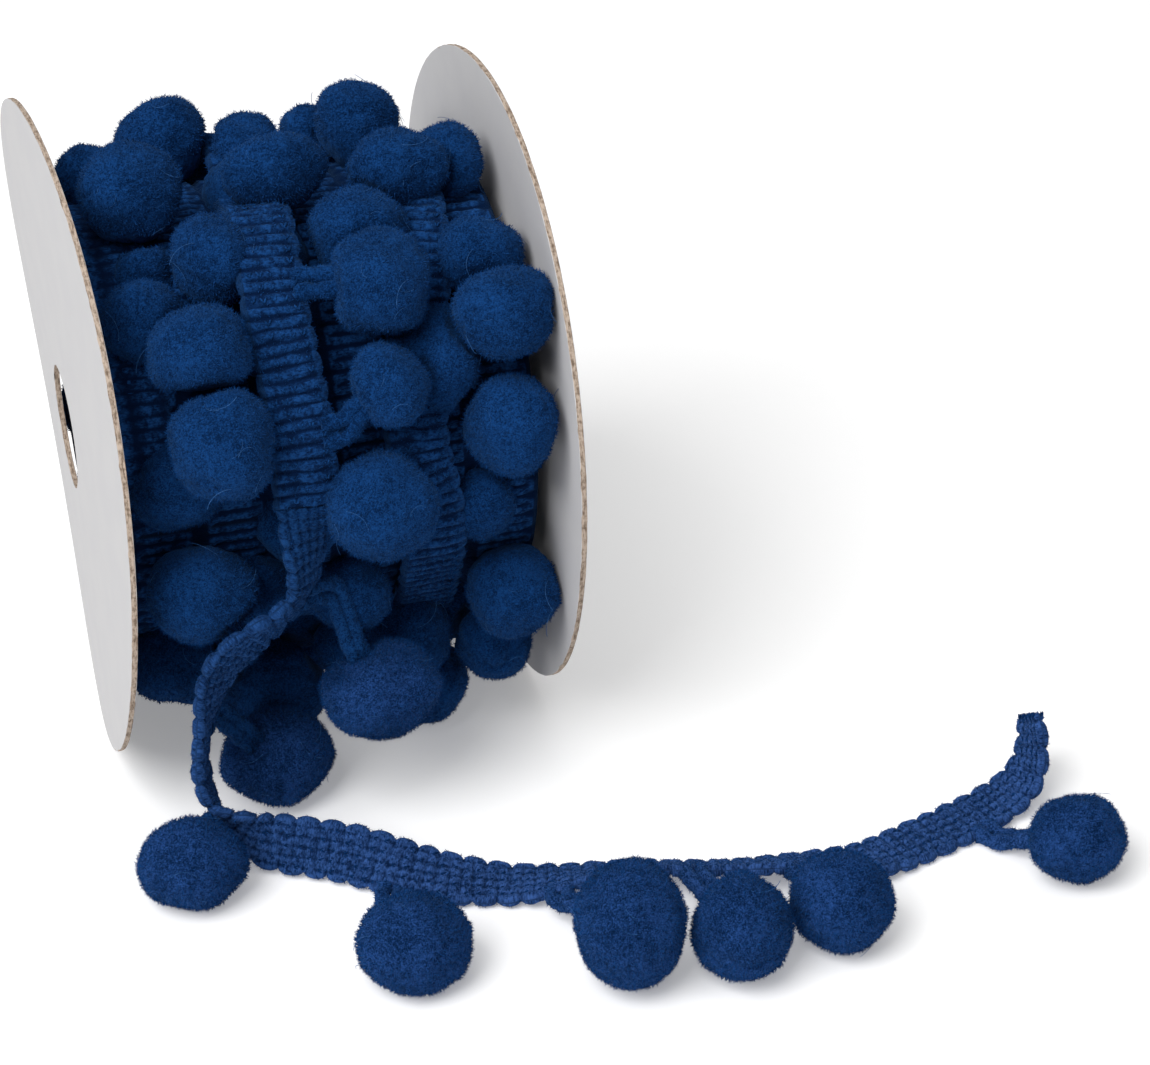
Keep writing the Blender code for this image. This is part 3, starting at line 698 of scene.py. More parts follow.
class GeometryTree(Graph):
    """A Geometry Nodes tree with named inputs, which ends in Realize Instances and Set Material."""

    def __init__(self, name: str, sizes: tuple[str, ...], seeded: bool = True) -> None:
        """Makes the group.

        Args:
            name: the group's name.
            sizes: the names of the inputs that are numbers.
            seeded: whether it has a Seed too.
        """
        super().__init__(bpy.data.node_groups.new(name, "GeometryNodeTree"))
        face = self.tree.interface
        face.new_socket("Geometry", in_out="INPUT", socket_type="NodeSocketGeometry")
        kinds = dict.fromkeys(sizes, "NodeSocketFloat")
        if seeded:
            kinds["Seed"] = "NodeSocketInt"
        for label, kind in {**kinds, "Material": "NodeSocketMaterial"}.items():
            face.new_socket(label, in_out="INPUT", socket_type=kind)
        face.new_socket("Geometry", in_out="OUTPUT", socket_type="NodeSocketGeometry")
        self.given = self.add("NodeGroupInput")

    def input(self, label: str) -> Signal:
        """One of the tree's named inputs."""
        return self.out(self.given, label)

    def field(self, label: str, kind: str = "FLOAT_VECTOR") -> NodeSocket:
        """An attribute of the incoming mesh."""
        node = self.add("GeometryNodeInputNamedAttribute", {"data_type": kind}, {"Name": label})
        return node.outputs[0]

    def end(self, geometry: Any) -> NodeTree:
        """Realizes, sets the material and closes the tree.

        Args:
            geometry: the meshes and instances that the tree has made.

        Returns:
            The finished tree.
        """
        real = self.add("GeometryNodeRealizeInstances", None, {0: geometry})
        inputs = {0: real.outputs[0], "Material": self.input("Material")}
        dressed = self.add("GeometryNodeSetMaterial", None, inputs)
        self.add("NodeGroupOutput", None, {0: dressed.outputs[0]})
        return self.tree

    def share(self, low: float, high: float, seed: Any) -> Signal:
        """A random share between two for each instance."""
        limits = {2: low, 3: high, "Seed": seed}
        return self.out(self.add("FunctionNodeRandomValue", {"data_type": "FLOAT"}, limits), 1)

    def spread(self) -> Node:
        """Points over the incoming mesh, as many to an area as its open attribute says."""
        inputs = {
            "Mesh": self.given.outputs["Geometry"],
            "Density": self.input("Density") * Signal(self, self.field("open", "FLOAT")),
            "Seed": self.input("Seed"),
        }
        return self.add("GeometryNodeDistributePointsOnFaces", None, inputs)

    def turned(self, spread: Node, low: Any, high: Any) -> NodeSocket:
        """The points' own turn, tilted at random.

        Args:
            spread: the node that spreads the points.
            low: the least angles about each axis.
            high: the greatest.

        Returns:
            The turn.
        """
        tilt = self.add(
            "FunctionNodeRandomValue",
            {"data_type": "FLOAT_VECTOR"},
            {"Min": low, "Max": high, "Seed": self.input("Seed")},
        )
        node = self.add(
            "FunctionNodeRotateRotation",
            {"rotation_space": "LOCAL"},
            {"Rotation": spread.outputs["Rotation"], "Rotate By": tilt.outputs[0]},
        )
        return node.outputs[0]

    def placed(self, points: Any, instance: Node, turn: Any, size: Any) -> Any:
        """An instance at each point.

        Args:
            points: the points.
            instance: the node that makes one instance.
            turn: how each is turned.
            size: how each is scaled.

        Returns:
            The instances.
        """
        inputs = {"Points": points, "Instance": instance.outputs[0], "Rotation": turn}
        inputs["Scale"] = size
        return self.add("GeometryNodeInstanceOnPoints", None, inputs).outputs[0]


def wool_fuzz_tree() -> NodeTree:
    """Short fibres that stand out of a pompom, one thin triangle each.

    Returns:
        The tree.
    """
    graph = GeometryTree("wool_fuzz", ("Density", "Length", "Width", "Lean"))
    spread = graph.spread()
    corners = {"Vertices": 3, "Radius": 1.0}
    blade = graph.add("GeometryNodeMeshCircle", {"fill_type": "NGON"}, corners)
    upright = graph.add(
        "GeometryNodeTransform",
        None,
        {
            "Geometry": blade.outputs[0],
            "Rotation": (math.radians(90), 0.0, 0.0),
            "Translation": (0.0, 0.0, 0.4),
        },
    )
    lean = graph.input("Lean")
    low = graph.add("ShaderNodeCombineXYZ", None, {"X": 0 - lean, "Y": 0 - lean, "Z": 0.0})
    high = graph.add("ShaderNodeCombineXYZ", None, {"X": lean, "Y": lean, "Z": math.tau})
    turn = graph.turned(spread, low.outputs[0], high.outputs[0])
    long = graph.input("Length") * graph.share(0.35, 1.0, graph.input("Seed") + 1)
    width = graph.input("Width")
    size = graph.add("ShaderNodeCombineXYZ", None, {"X": width, "Y": width, "Z": long})
    return graph.end(graph.placed(spread.outputs["Points"], upright, turn, size.outputs[0]))


def stray_hair_tree() -> NodeTree:
    """Long curled hairs that lie nearly flat on a surface.

    Returns:
        The tree.
    """
    graph = GeometryTree("stray_hair", ("Density", "Curl", "Width"))
    spread = graph.spread()
    arc = graph.add(
        "GeometryNodeCurveArc",
        {"mode": "RADIUS"},
        {"Resolution": 8, "Radius": 1.0, "Start Angle": 0.0, "Sweep Angle": 1.5},
    )
    from_root = graph.add(
        "GeometryNodeTransform", None, {"Geometry": arc.outputs[0], "Translation": (-1.0, 0.0, 0.0)}
    )
    outline = graph.add(
        "GeometryNodeCurvePrimitiveCircle",
        None,
        {"Resolution": 3, "Radius": graph.input("Width") / graph.input("Curl")},
    )
    hair = graph.add(
        "GeometryNodeCurveToMesh",
        None,
        {"Curve": from_root.outputs[0], "Profile Curve": outline.outputs[0], "Fill Caps": True},
    )
    turn = graph.turned(spread, (-0.2, -0.3, 0.0), (0.2, 0.3, math.tau))
    size = graph.input("Curl") * graph.share(0.5, 1.3, graph.input("Seed") + 1)
    return graph.end(graph.placed(spread.outputs["Points"], hair, turn, size))


def chain_stitch_tree() -> NodeTree:
    """A small stitch at each point, lying along its along attribute and facing its up attribute.

    Returns:
        The tree.
    """
    graph = GeometryTree("chain_stitch", ("Length", "Width", "Height"))
    bead = graph.add("GeometryNodeMeshIcoSphere", None, {"Radius": 0.5, "Subdivisions": 1})
    smooth = graph.add("GeometryNodeSetShadeSmooth", None, {0: bead.outputs["Mesh"]})
    facing = graph.add(
        "FunctionNodeAxesToRotation",
        {"primary_axis": "Z", "secondary_axis": "X"},
        {0: graph.field("up"), 1: graph.field("along")},
    )
    long = graph.input("Length") * graph.share(0.8, 1.15, graph.input("Seed"))
    sides = {"X": long, "Y": graph.input("Width"), "Z": graph.input("Height")}
    size = graph.add("ShaderNodeCombineXYZ", None, sides)
    points = graph.given.outputs["Geometry"]
    return graph.end(graph.placed(points, smooth, facing.outputs[0], size.outputs[0]))


def twisted_cord_tree() -> NodeTree:
    """A woolly cord of plies twisted together, along the incoming lines.

    Returns:
        The tree.
    """
    sizes = ("Radius", "Plies", "Ply Depth", "Twist", "Lumps", "Lump Size")
    graph = GeometryTree("twisted_cord", sizes, seeded=False)
    line = graph.add("GeometryNodeMeshToCurve", None, {0: graph.given.outputs["Geometry"]})
    travelled = graph.add("GeometryNodeSplineParameter").outputs["Length"]
    tilted = graph.add(
        "GeometryNodeSetCurveTilt",
        None,
        {"Curve": line.outputs[0], "Tilt": Signal(graph, travelled) * graph.input("Twist")},
    )
    ring = graph.add("GeometryNodeCurvePrimitiveCircle", None, {"Resolution": 16, "Radius": 1.0})
    place = graph.add("GeometryNodeInputPosition").outputs[0]
    parts = graph.add("ShaderNodeSeparateXYZ", None, {0: place})
    x, y = graph.out(parts, "X"), graph.out(parts, "Y")
    angle = x.math("ARCTAN2", y, x) * graph.input("Plies")
    wave = angle.math("COSINE", angle)
    reach = graph.input("Radius") * (1 + graph.input("Ply Depth") * (wave - 0.5))
    moved = graph.add("ShaderNodeVectorMath", {"operation": "SCALE"}, {0: place, "Scale": reach})
    outline = graph.add(
        "GeometryNodeSetPosition", None, {0: ring.outputs[0], "Position": moved.outputs[0]}
    )
    tube = graph.add(
        "GeometryNodeCurveToMesh",
        None,
        {"Curve": tilted.outputs[0], "Profile Curve": outline.outputs[0], "Fill Caps": True},
    )
    lump = graph.add(
        "ShaderNodeTexNoise", None, {"Vector": place, "Scale": 1 / graph.input("Lump Size")}
    )
    swell = (graph.out(lump) - 0.5) * graph.input("Lumps")
    away = graph.add("GeometryNodeInputNormal").outputs[0]
    shift = graph.add("ShaderNodeVectorMath", {"operation": "SCALE"}, {0: away, "Scale": swell})
    rough = graph.add(
        "GeometryNodeSetPosition", None, {0: tube.outputs[0], "Offset": shift.outputs[0]}
    )
    smooth = graph.add("GeometryNodeSetShadeSmooth", None, {0: rough.outputs[0]})
    return graph.end(smooth.outputs[0])


# Meshes and pieces


def grow(name: str, tree: NodeTree, source: Mesh, inputs: dict[str, Any]) -> Object:
    """Runs a geometry tree on a mesh and keeps the result as a plain mesh.

    Args:
        name: the new object's name.
        tree: the geometry tree.
        source: the mesh that it starts from.
        inputs: a value for each of the tree's inputs.

    Returns:
        The new object, with no modifier.
    """
    obj = link(name, source)
    maker = obj.modifiers.new("maker", "NODES")
    maker.node_group = tree
    for item in tree.interface.items_tree:
        if item.in_out == "INPUT" and item.name in inputs:
            maker[item.identifier] = inputs[item.name]
    graph = bpy.context.evaluated_depsgraph_get()
    mesh = bpy.data.meshes.new_from_object(obj.evaluated_get(graph))
    obj.modifiers.clear()
    obj.data = mesh
    return obj


def link(name: str, mesh: Mesh) -> Object:
    """An object for the mesh, in the scene.

    Args:
        name: the object's name.
        mesh: its mesh.

    Returns:
        The object.
    """
    obj = bpy.data.objects.new(name, mesh)
    bpy.context.scene.collection.objects.link(obj)
    return obj


def finish_piece(obj: Object, slot: str, *nodes: str) -> Object:
    """Makes a piece ride on the reel, hides the model's nodes that it replaces, and reports it.

    Args:
        obj: the piece.
        slot: its material slot in the model, which is not used.
        nodes: the model's nodes that it replaces.

    Returns:
        The same piece.
    """
    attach(obj, BODY)
    if nodes:
        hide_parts(*nodes)
    obj.data.calc_loop_triangles()
    log.info("%s: %d triangles", obj.name, len(obj.data.loop_triangles))
    return obj


def mesh_of(
    name: str, points: np.ndarray, faces: np.ndarray, material: Material | None = None
) -> Mesh:
    """A smooth mesh from arrays of points and of faces with equal numbers of corners.

    Args:
        name: the mesh's name.
        points: the points, a row each.
        faces: the point numbers of each face.
        material: its finish, if it has one.

    Returns:
        The mesh.
    """
    mesh = bpy.data.meshes.new(name)
    mesh.from_pydata(points.tolist(), [], faces.tolist())
    mesh.update()
    mesh.shade_smooth()
    if material is not None:
        mesh.materials.append(material)
    return mesh


def put_attribute(mesh: Mesh, name: str, values: np.ndarray) -> None:
    """Stores a number or a vector for each point of a mesh.

    Args:
        mesh: the mesh.
        name: the attribute's name.
        values: a number or a row of three for each point.
    """
    vector = values.ndim == 2
    layer = mesh.attributes.new(name, "FLOAT_VECTOR" if vector else "FLOAT", "POINT")
    layer.data.foreach_set("vector" if vector else "value", values.astype(np.float32).ravel())


def put_map(mesh: Mesh, places: np.ndarray) -> None:
    """Gives a mesh a map from a pair of numbers for each point.

    Args:
        mesh: the mesh.
        places: the pair for each point.
    """
    layer = mesh.uv_layers.new(name="map")
    corners = np.empty(len(mesh.loops), np.int32)
    mesh.loops.foreach_get("vertex_index", corners)
    layer.data.foreach_set("uv", places[corners].astype(np.float32).ravel())


def ring_faces(rings: int, around: int, closed: bool) -> np.ndarray:
    """The four-cornered faces between rings of points, each ring closed on itself or not.

    Args:
        rings: how many rings there are.
        around: how many points a ring has.
        closed: whether a ring's last point joins its first.

    Returns:
        The point numbers of each face.
    """
    ahead = around if closed else around - 1
    row, column = np.meshgrid(np.arange(rings - 1), np.arange(ahead), indexing="ij")
    beside = (column + 1) % around
    corners = [row * around + column, row * around + beside]
    corners += [(row + 1) * around + beside, (row + 1) * around + column]
    return np.stack(corners, axis=-1).reshape(-1, 4)


def wheel_faces(rings: int, around: int) -> np.ndarray:
    """The faces of rings that follow each other all the way round and join up.

    Args:
        rings: how many rings there are.
        around: how many points a ring has.

    Returns:
        The point numbers of each face.
    """
    rows = ring_faces(rings, around, closed=True)
    seam = ring_faces(2, around, closed=True)
    return np.vstack([rows, np.where(seam < around, seam + (rings - 1) * around, seam - around)])


def outward(mesh: Mesh) -> Mesh:
    """The mesh with all its faces pointing out.

    Args:
        mesh: a closed mesh.

    Returns:
        The same mesh.
    """
    bm = bmesh.new()
    bm.from_mesh(mesh)
    bmesh.ops.recalc_face_normals(bm, faces=bm.faces[:])
    bm.to_mesh(mesh)
    bm.free()
    return mesh


def joined(name: str, meshes: list[Mesh]) -> Mesh:
    """One mesh of several, with their attributes and the first one's material.

    Args:
        name: the new mesh's name.
        meshes: the meshes.

    Returns:
        The new mesh.
    """
    bm = bmesh.new()
    for mesh in meshes:
        bm.from_mesh(mesh)
    whole = bpy.data.meshes.new(name)
    bm.to_mesh(whole)
    bm.free()
    for material in meshes[0].materials:
        whole.materials.append(material)
    whole.shade_smooth()
    return whole


# Places and curves


def travelled_along(path: np.ndarray) -> np.ndarray:
    """How far along a path each of its points is."""
    return np.r_[0, np.cumsum(np.linalg.norm(np.diff(path, axis=0), axis=1))]


def smooth_points(rows: Any, step: float) -> np.ndarray:
    """Rows of numbers read at an even step from a smooth curve through the given rows.

    Args:
        rows: the rows, whose first three numbers are a point.
        step: the distance from one new row's point to the next.

    Returns:
        The new rows.
    """
    samples = 24
    rows = np.array(rows, float)
    padded = np.vstack([2 * rows[0] - rows[1], rows, 2 * rows[-1] - rows[-2]])
    fine = []
    for i in range(len(rows) - 1):
        a, b, c, d = padded[i : i + 4]
        for t in np.linspace(0, 1, samples, endpoint=False):
            bend = 2 * a - 5 * b + 4 * c - d
            twist = 3 * (b - c) + d - a
            fine.append(b + 0.5 * t * (c - a + t * (bend + t * twist)))
    fine.append(rows[-1])
    fine = np.array(fine)
    travelled = travelled_along(fine[:, :3])
    count = max(2, round(travelled[-1] / step))
    wanted = np.linspace(0, travelled[-1], count + 1)
    return np.stack([np.interp(wanted, travelled, column) for column in fine.T], axis=1)


def unit(rows: np.ndarray) -> np.ndarray:
    """Each row at length 1."""
    return rows / np.maximum(np.linalg.norm(rows, axis=1, keepdims=True), 1e-12)


def square_to(edge: np.ndarray, path: np.ndarray) -> tuple[np.ndarray, np.ndarray]:
    """Unit directions across a path, as near as can be to the given ones, and along it."""
    tangent = unit(np.gradient(path, axis=0))
    return unit(edge - tangent * (edge * tangent).sum(axis=1, keepdims=True)), tangent


def eased(rows: np.ndarray, rounds: int = 4) -> np.ndarray:
    """The rows with their sharp changes evened out, and both ends kept.

    Args:
        rows: the rows.
        rounds: how many times they are evened out.

    Returns:
        The new rows.
    """
    rows = rows.copy()
    for _ in range(rounds):
        rows[1:-1] = (rows[:-2] + 2 * rows[1:-1] + rows[2:]) / 4
    return rows


@dataclass
class Axle:
    """The reel's axis and its two warped cards."""

    card_radius: float = 57.5 * MM
    card_thickness: float = 1.0 * MM
    card_sides: int = 48

    @property
    def height(self) -> float:
        """How high the axis is above the floor."""
        return self.card_radius * math.cos(math.pi / self.card_sides)

    def point(self, along: float, around: float, out: float) -> Vector:
        """The point at a distance along, degrees up from the front and a radius."""
        turn = math.radians(around)
        return Vector((along, -out * math.cos(turn), self.height + out * math.sin(turn)))

    def card_x(self, card: Card, y: Any, z: Any) -> Any:
        """X of the middle of a warped card at places on it.

        Args:
            card: the card.
            y: Y of the places.
            z: Z of the places.

        Returns:
            X at each place.
        """
        across = y / self.card_radius
        up = (z - self.height) / self.card_radius
        warp = card.bow * across**2 + card.twist * across * up + card.lean * (up + 1)
        return (card.place + warp) * MM


AXLE = Axle()


# The reel


@dataclass
class CardReel:
    """Two white cards with worn cut edges and the board core between them."""

    paper: float = 0.16 * MM
    segments: int = 288
    hole_radius: float = 10.8 * MM
    wear: float = 0.12 * MM
    wear_lift: float = 0.4
    notch_from: float = 0.45
    notch_depth: float = 2.2 * MM
    scuffed: float = 1.8 * MM
    rubbed: float = 0.5 * MM
    halfway: float = 30 * MM
    core_radius: float = 13.5 * MM
    core_bore: float = 11.3 * MM
    core_segments: int = 96

    def build(self) -> None:
        """Makes the cards and the core."""
        # Painted shade: the left card gets a darker copy of the paper, for the lesser light on its
        # face.
        outer = CardFinish(paper=(0.49, 0.485, 0.49), shaded=(0.475, 0.47, 0.48))
        finishes = (outer.material("left_paper"), CardFinish().material("right_paper"))
        for card, name, paper in zip(CARDS, ("left_card", "right_card"), finishes):
            finish_piece(link(name, self.card_mesh(card, paper)), "white_card", card.node)
        board = BoardFinish().material("core_board")
        finish_piece(link("core_board", self.core_mesh(board)), "grey_board", "core_tube")

    def card_mesh(self, card: Card, material: Material) -> Mesh:
        """A warped card: two sheets of paper with bare, rough board between them at the cuts.

        Args:
            card: the card.
            material: its finish.

        Returns:
            A closed mesh with a cut attribute.
        """
        half = AXLE.card_thickness / 2
        rim, hole, lip = AXLE.card_radius, self.hole_radius, self.paper
        face = [hole + lip, hole + self.rubbed, *np.linspace(hole, rim, 11)[1:-1]]
        face += [rim - self.scuffed, rim - self.rubbed, rim - lip]
        section = [(r, half, 0.0) for r in face]
        section += [(rim, half - lip / 2, 0.5), (rim, half - lip, 1.0)]
        deep = half - 1.6 * lip
        section += [(rim, depth, 1.0) for depth in np.linspace(deep, -deep, 4)]
        section += [(rim, -half + lip, 1.0), (rim, -half + lip / 2, 0.5)]
        section += [(r, -half, 0.0) for r in face[::-1]]
        section += [(hole, -half + lip / 2, 0.6), (hole, 0.0, 1.0), (hole, half - lip / 2, 0.6)]
        angles = np.linspace(0, math.tau, self.segments, endpoint=False)
        points, cuts = [], []
        for angle in angles:
            for radius, side, cut in section:
                cuts.append(self.cut_mark(radius, cut))
                radius, side = self.worn(card, angle, radius, side, cut)
                y = radius * math.cos(angle)
                z = max(AXLE.height + radius * math.sin(angle), 0.0)
                points.append((AXLE.card_x(card, y, z) + side, y, z))
        faces = wheel_faces(self.segments, len(section))
        mesh = mesh_of(card.node + "_looks", np.array(points), faces, material)
        put_attribute(mesh, "cut", np.array(cuts))
        mesh = outward(mesh)
        mesh.set_sharp_from_angle(angle=math.radians(35))
        return mesh

    def cut_mark(self, radius: float, cut: float) -> float:
        """How worn a place is: 1 on a cut, and less on the paper beside it.

        Args:
            radius: the distance from the axle.
            cut: 1 on a cut edge and 0 on a face.

        Returns:
            The mark, from 0 to 1.
        """
        rim, hole = AXLE.card_radius, self.hole_radius
        beside = np.interp(radius, (rim - self.scuffed, rim - self.rubbed, rim), (0, 0.28, 0.42))
        around_hole = np.interp(radius, (hole, hole + self.rubbed), (0.35, 0))
        return max(cut, float(beside), float(around_hole))

    def worn(
        self, card: Card, angle: float, radius: float, side: float, cut: float
    ) -> tuple[float, float]:
        """A place on the section moved by the roughness of the cut.

        Args:
            card: the card, whose place seeds the roughness.
            angle: the direction from the axle.
            radius: the distance from the axle.
            side: the distance from the card's middle.
            cut: 1 on a cut edge and 0 on a face.

        Returns:
            The moved radius and side.
        """
        if cut == 0.0:
            return radius, side
        around = Vector((math.cos(angle), math.sin(angle), 0)) * radius / MM
        where = around * 0.9 + Vector((card.place, 0, side / MM * 4))
        fray = noise.noise(where) * self.wear
        chip = noise.noise(around * 0.35 + Vector((card.place, 7, 0)))
        notch = max(0.0, chip - self.notch_from) * self.notch_depth
        inward = 1 if radius > self.halfway else -1
        lift = noise.noise(where * 0.6 + Vector((0, 0, 9))) * self.wear * self.wear_lift
        return radius - inward * (self.wear - fray + notch * cut), side + lift * cut

    def core_mesh(self, material: Material) -> Mesh:
        """The board tube between the cards.

        Args:
            material: its finish.

        Returns:
            A closed mesh.
        """
        low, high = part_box("core_tube")
        ends = (low.x, high.x)
        section = [(x, self.core_bore) for x in np.linspace(*ends, 16)]
        section += [(x, self.core_radius) for x in np.linspace(*ends[::-1], 16)]
        points = []
        for angle in np.linspace(0, math.tau, self.core_segments, endpoint=False):
            for x, radius in section:
                points.append((x, radius * math.cos(angle), AXLE.height + radius * math.sin(angle)))
        faces = wheel_faces(self.core_segments, len(section))
        mesh = outward(mesh_of("core_board", np.array(points), faces, material))
        mesh.set_sharp_from_angle(angle=math.radians(50))
        return mesh


# The braid


@dataclass
class Braid:
    """Thick cord laid back and forth across the strip, and drawn in by lines of chain stitch."""

    width: float = 10.5 * MM
    thickness: float = 2.4 * MM
    pitch: float = 2.1 * MM
    cord: float = 1.17 * MM
    notch: float = 1.1 * MM
    lines: int = 5
    line_gap: float = 1.78 * MM
    line_width: float = 0.4 * MM
    row_depth: float = 0.62
    draw_in: float = 0.29
    # line_shade adds painted shade at the stitch lines, and rim is the band along each edge left
    # without painted shade.
    line_shade: float = 0.15
    join: float = 2.2 * MM
    rim: float = 1.0 * MM
    join_ramp: float = 0.64
    roundness: float = 1.94
    edge_band: float = 1.3 * MM
    end_round: float = 0.0
    end_flat: float = 0.1
    end_narrow: float = 0.28
    end_fray: float = 5.0
    # The length along the strip over which its painted light rises to full.
    fade: float = 110 * MM
    samples: int = 8
    under_step: int = 1
    wander: float = 0.3 * MM
    wander_size: float = 3.5 * MM
    swell: float = 0.22
    swell_size: float = 1.6 * MM
    under_map: float = 40 * MM
    stitch_length: float = 1.35 * MM
    stitch_width: float = 0.45 * MM
    stitch_height: float = 0.42 * MM
    stitch_lean: float = 26.0
    stitch_aside: float = 0.27 * MM
    stitch_sink: float = 0.02 * MM
    seed: int = 0

    @property
    def line_places(self) -> np.ndarray:
        """Where the lines of chain stitch lie across the strip."""
        return (np.arange(self.lines) - (self.lines - 1) / 2) * self.line_gap

    @property
    def across(self) -> np.ndarray:
        """Where the surface is sampled across the strip: finely at the lines and the edges."""
        lines = self.line_places
        near = [(line - self.line_width, line, line + self.line_width) for line in lines]
        between = (lines[:-1] + lines[1:]) / 2
        rim = self.width / 2 - np.array((0.95, 0.6, 0.35, 0.15, 0.03, 0)) * MM
        return np.sort(np.concatenate([np.ravel(near), between, rim, -rim]))

    def to_turn(self, along: np.ndarray, side: float) -> np.ndarray:
        """How far it is along the strip to the nearest turn of the cord, -1 to 1."""
        return (along / self.pitch + (0 if side > 0 else 1)) % 2 - 1

    def half_width(self, along: np.ndarray, side: float) -> np.ndarray:
        """The scalloped half width of the strip on one side."""
        bump = np.sqrt(np.maximum(1 - self.to_turn(along, side) ** 2, 0))
        return self.width / 2 - self.notch * (1 - bump)

    def height(self, along: np.ndarray, across: np.ndarray) -> np.ndarray:
        """How far the cords reach from the middle plane.

        Args:
            along: distances along the strip.
            across: distances from its middle line, positive towards the pompoms.

        Returns:
            The height at each place.
        """
        from_crest = np.abs((along / self.pitch) % 1 - 0.5) * self.roundness
        row = np.sqrt(1 - from_crest**2)
        turn = np.where(across > 0, self.to_turn(along, 1), self.to_turn(along, -1))
        reach = np.where(across > 0, self.half_width(along, 1), self.half_width(along, -1))
        joins = np.abs(across) - reach + self.join
        joins = np.clip(joins / (self.join_ramp * self.join), 0, 1)
        row = row + (1 - row) * joins * (np.abs(turn) < 0.5)
        past = np.clip((np.abs(across) - reach) / self.cord + 1, 0, 1)
        high = self.cord * (1 - self.row_depth * (1 - row)) * np.sqrt(1 - past**2)
        return high * (1 - self.draw_in * self.near_line(across))

    def near_line(self, across: np.ndarray) -> np.ndarray:
        """How near a place is to a line of chain stitch: 1 on it, 0 between two lines."""
        apart = np.abs(across[..., None] - self.line_places).min(axis=-1)
        return np.exp(-((apart / self.line_width) ** 2))

    def rows(
        self, path: np.ndarray, edge: np.ndarray
    ) -> tuple[np.ndarray, np.ndarray, np.ndarray, np.ndarray]:
        """Fine rows of a strip: its middle line, and the directions across, along and out.

        Args:
            path: points of the middle line.
            edge: directions across it.

        Returns:
            The four, a row for each place.
        """
        rows = smooth_points(np.hstack([path, edge]), self.pitch / self.samples)
        across, along = square_to(rows[:, 3:], rows[:, :3])
        return rows[:, :3], across, along, np.cross(along, across)

    def field(self, along: np.ndarray, across: np.ndarray, size: float, seed: int) -> np.ndarray:
        """Smooth noise over the strip, from -1 to 1, with features of the given size.

        Args:
            along: distances along the strip.
            across: distances from its middle line.
            size: the size of the features.
            seed: what sets one noise apart from another.

        Returns:
            The noise at each place.
        """
        found = [
            noise.noise(Vector((s / size, t / size, seed + self.seed)))
            for s, t in zip(along.ravel(), across.ravel())
        ]
        return np.array(found).reshape(along.shape)

    def surface(self, name: str, path: np.ndarray, edge: np.ndarray, material: Material) -> Mesh:
        """The strip laid on a path.

        Args:
            name: the mesh's name.
            path: points of the middle line at any even step.
            edge: unit directions across it, towards the pompoms.
            material: its finish.

        Returns:
            A closed mesh with a map in millimetres and three attributes: crest, which is 1 on top
            of the cords and sets the painted shade of the grooves, open, which is 1 or more where
            fibres stand, and away along the strip, which sets painted light.
        """
        path, edge, _, facing = self.rows(path, edge)
        travelled = travelled_along(path)
        flat = self.across
        stations = np.repeat(travelled[:, None], len(flat), axis=1)
        nominal = np.repeat(flat[None, :], len(path), axis=0)
        along = stations + self.field(stations, nominal, self.wander_size, 0) * self.wander
        reach = np.where(nominal > 0, self.half_width(along, 1), self.half_width(along, -1))
        inner = self.width / 2 - self.edge_band
        share = np.clip((np.abs(nominal) - inner) / (self.width / 2 - inner), 0, 1)
        offset = np.sign(nominal) * np.where(
            np.abs(nominal) > inner, inner + share * (reach - inner), np.abs(nominal)
        )
        high = self.height(along, offset)
        high *= 1 + self.swell * self.field(stations, nominal, self.swell_size, 40)
        high[:, [0, -1]] = 0
        to_end = travelled[-1] - stations
        near_end = np.clip(1 - to_end / self.end_round, 0, 1) if self.end_round else 0 * to_end
        full = np.sqrt(np.maximum(1 - near_end**2, self.end_flat))
        high, offset = high * full, offset * (1 - self.end_narrow + self.end_narrow * full)
        flat_points = path[:, None] + edge[:, None] * offset[:, :, None]
        over = flat_points + facing[:, None] * high[:, :, None]
        under = flat_points - facing[:, None] * high[:, :, None]
        pick = np.arange(len(flat) - 2, 0, -self.under_step)
        rings = np.concatenate([over, under[:, pick]], axis=1)
        rings[:, :, 2] = np.maximum(rings[:, :, 2], FLOOR_SKIN)
        count, around = rings.shape[:2]
        mesh = mesh_of(name, rings.reshape(-1, 3), ring_faces(count, around, closed=True), material)
        places = np.stack([stations, offset], axis=-1)
        places = np.concatenate([places, places[:, pick] + self.under_map], axis=1)
        put_map(mesh, places.reshape(-1, 2) / MM)
        # Painted shade: crest is low in the grooves between the cords and lower still at the stitch
        # lines, and the finish darkens the colour there; the band along each edge is left
        # undarkened.
        crest = high / self.cord * (1 - self.line_shade * self.near_line(nominal))
        crest = np.where(np.abs(nominal) > self.width / 2 - self.rim, 1.0, crest)
        frayed = 1 + self.end_fray * near_end
        # Painted light: away grows along the strip, and the finish turns the colour paler the
        # further the strip runs from the reel.
        away = np.clip(stations / self.fade, 0, 1)
        for key, values in {"crest": crest, "open": frayed, "away": away}.items():
            put_attribute(mesh, key, np.concatenate([values, values[:, pick]], axis=1).ravel())
        return self.capped(mesh, count, around)

    def capped(self, mesh: Mesh, count: int, around: int) -> Mesh:
        """The strip with both its ends closed.

        Args:
            mesh: the strip, open at its ends.
            count: how many rings it has.
            around: how many points a ring has.

        Returns:
            The same mesh.
        """
        bm = bmesh.new()
        bm.from_mesh(mesh)
        bm.verts.ensure_lookup_table()
        for first in (0, (count - 1) * around):
            bm.faces.new([bm.verts[first + i] for i in range(around)])
        bmesh.ops.recalc_face_normals(bm, faces=bm.faces[:])
        bm.to_mesh(mesh)
        bm.free()
        return mesh

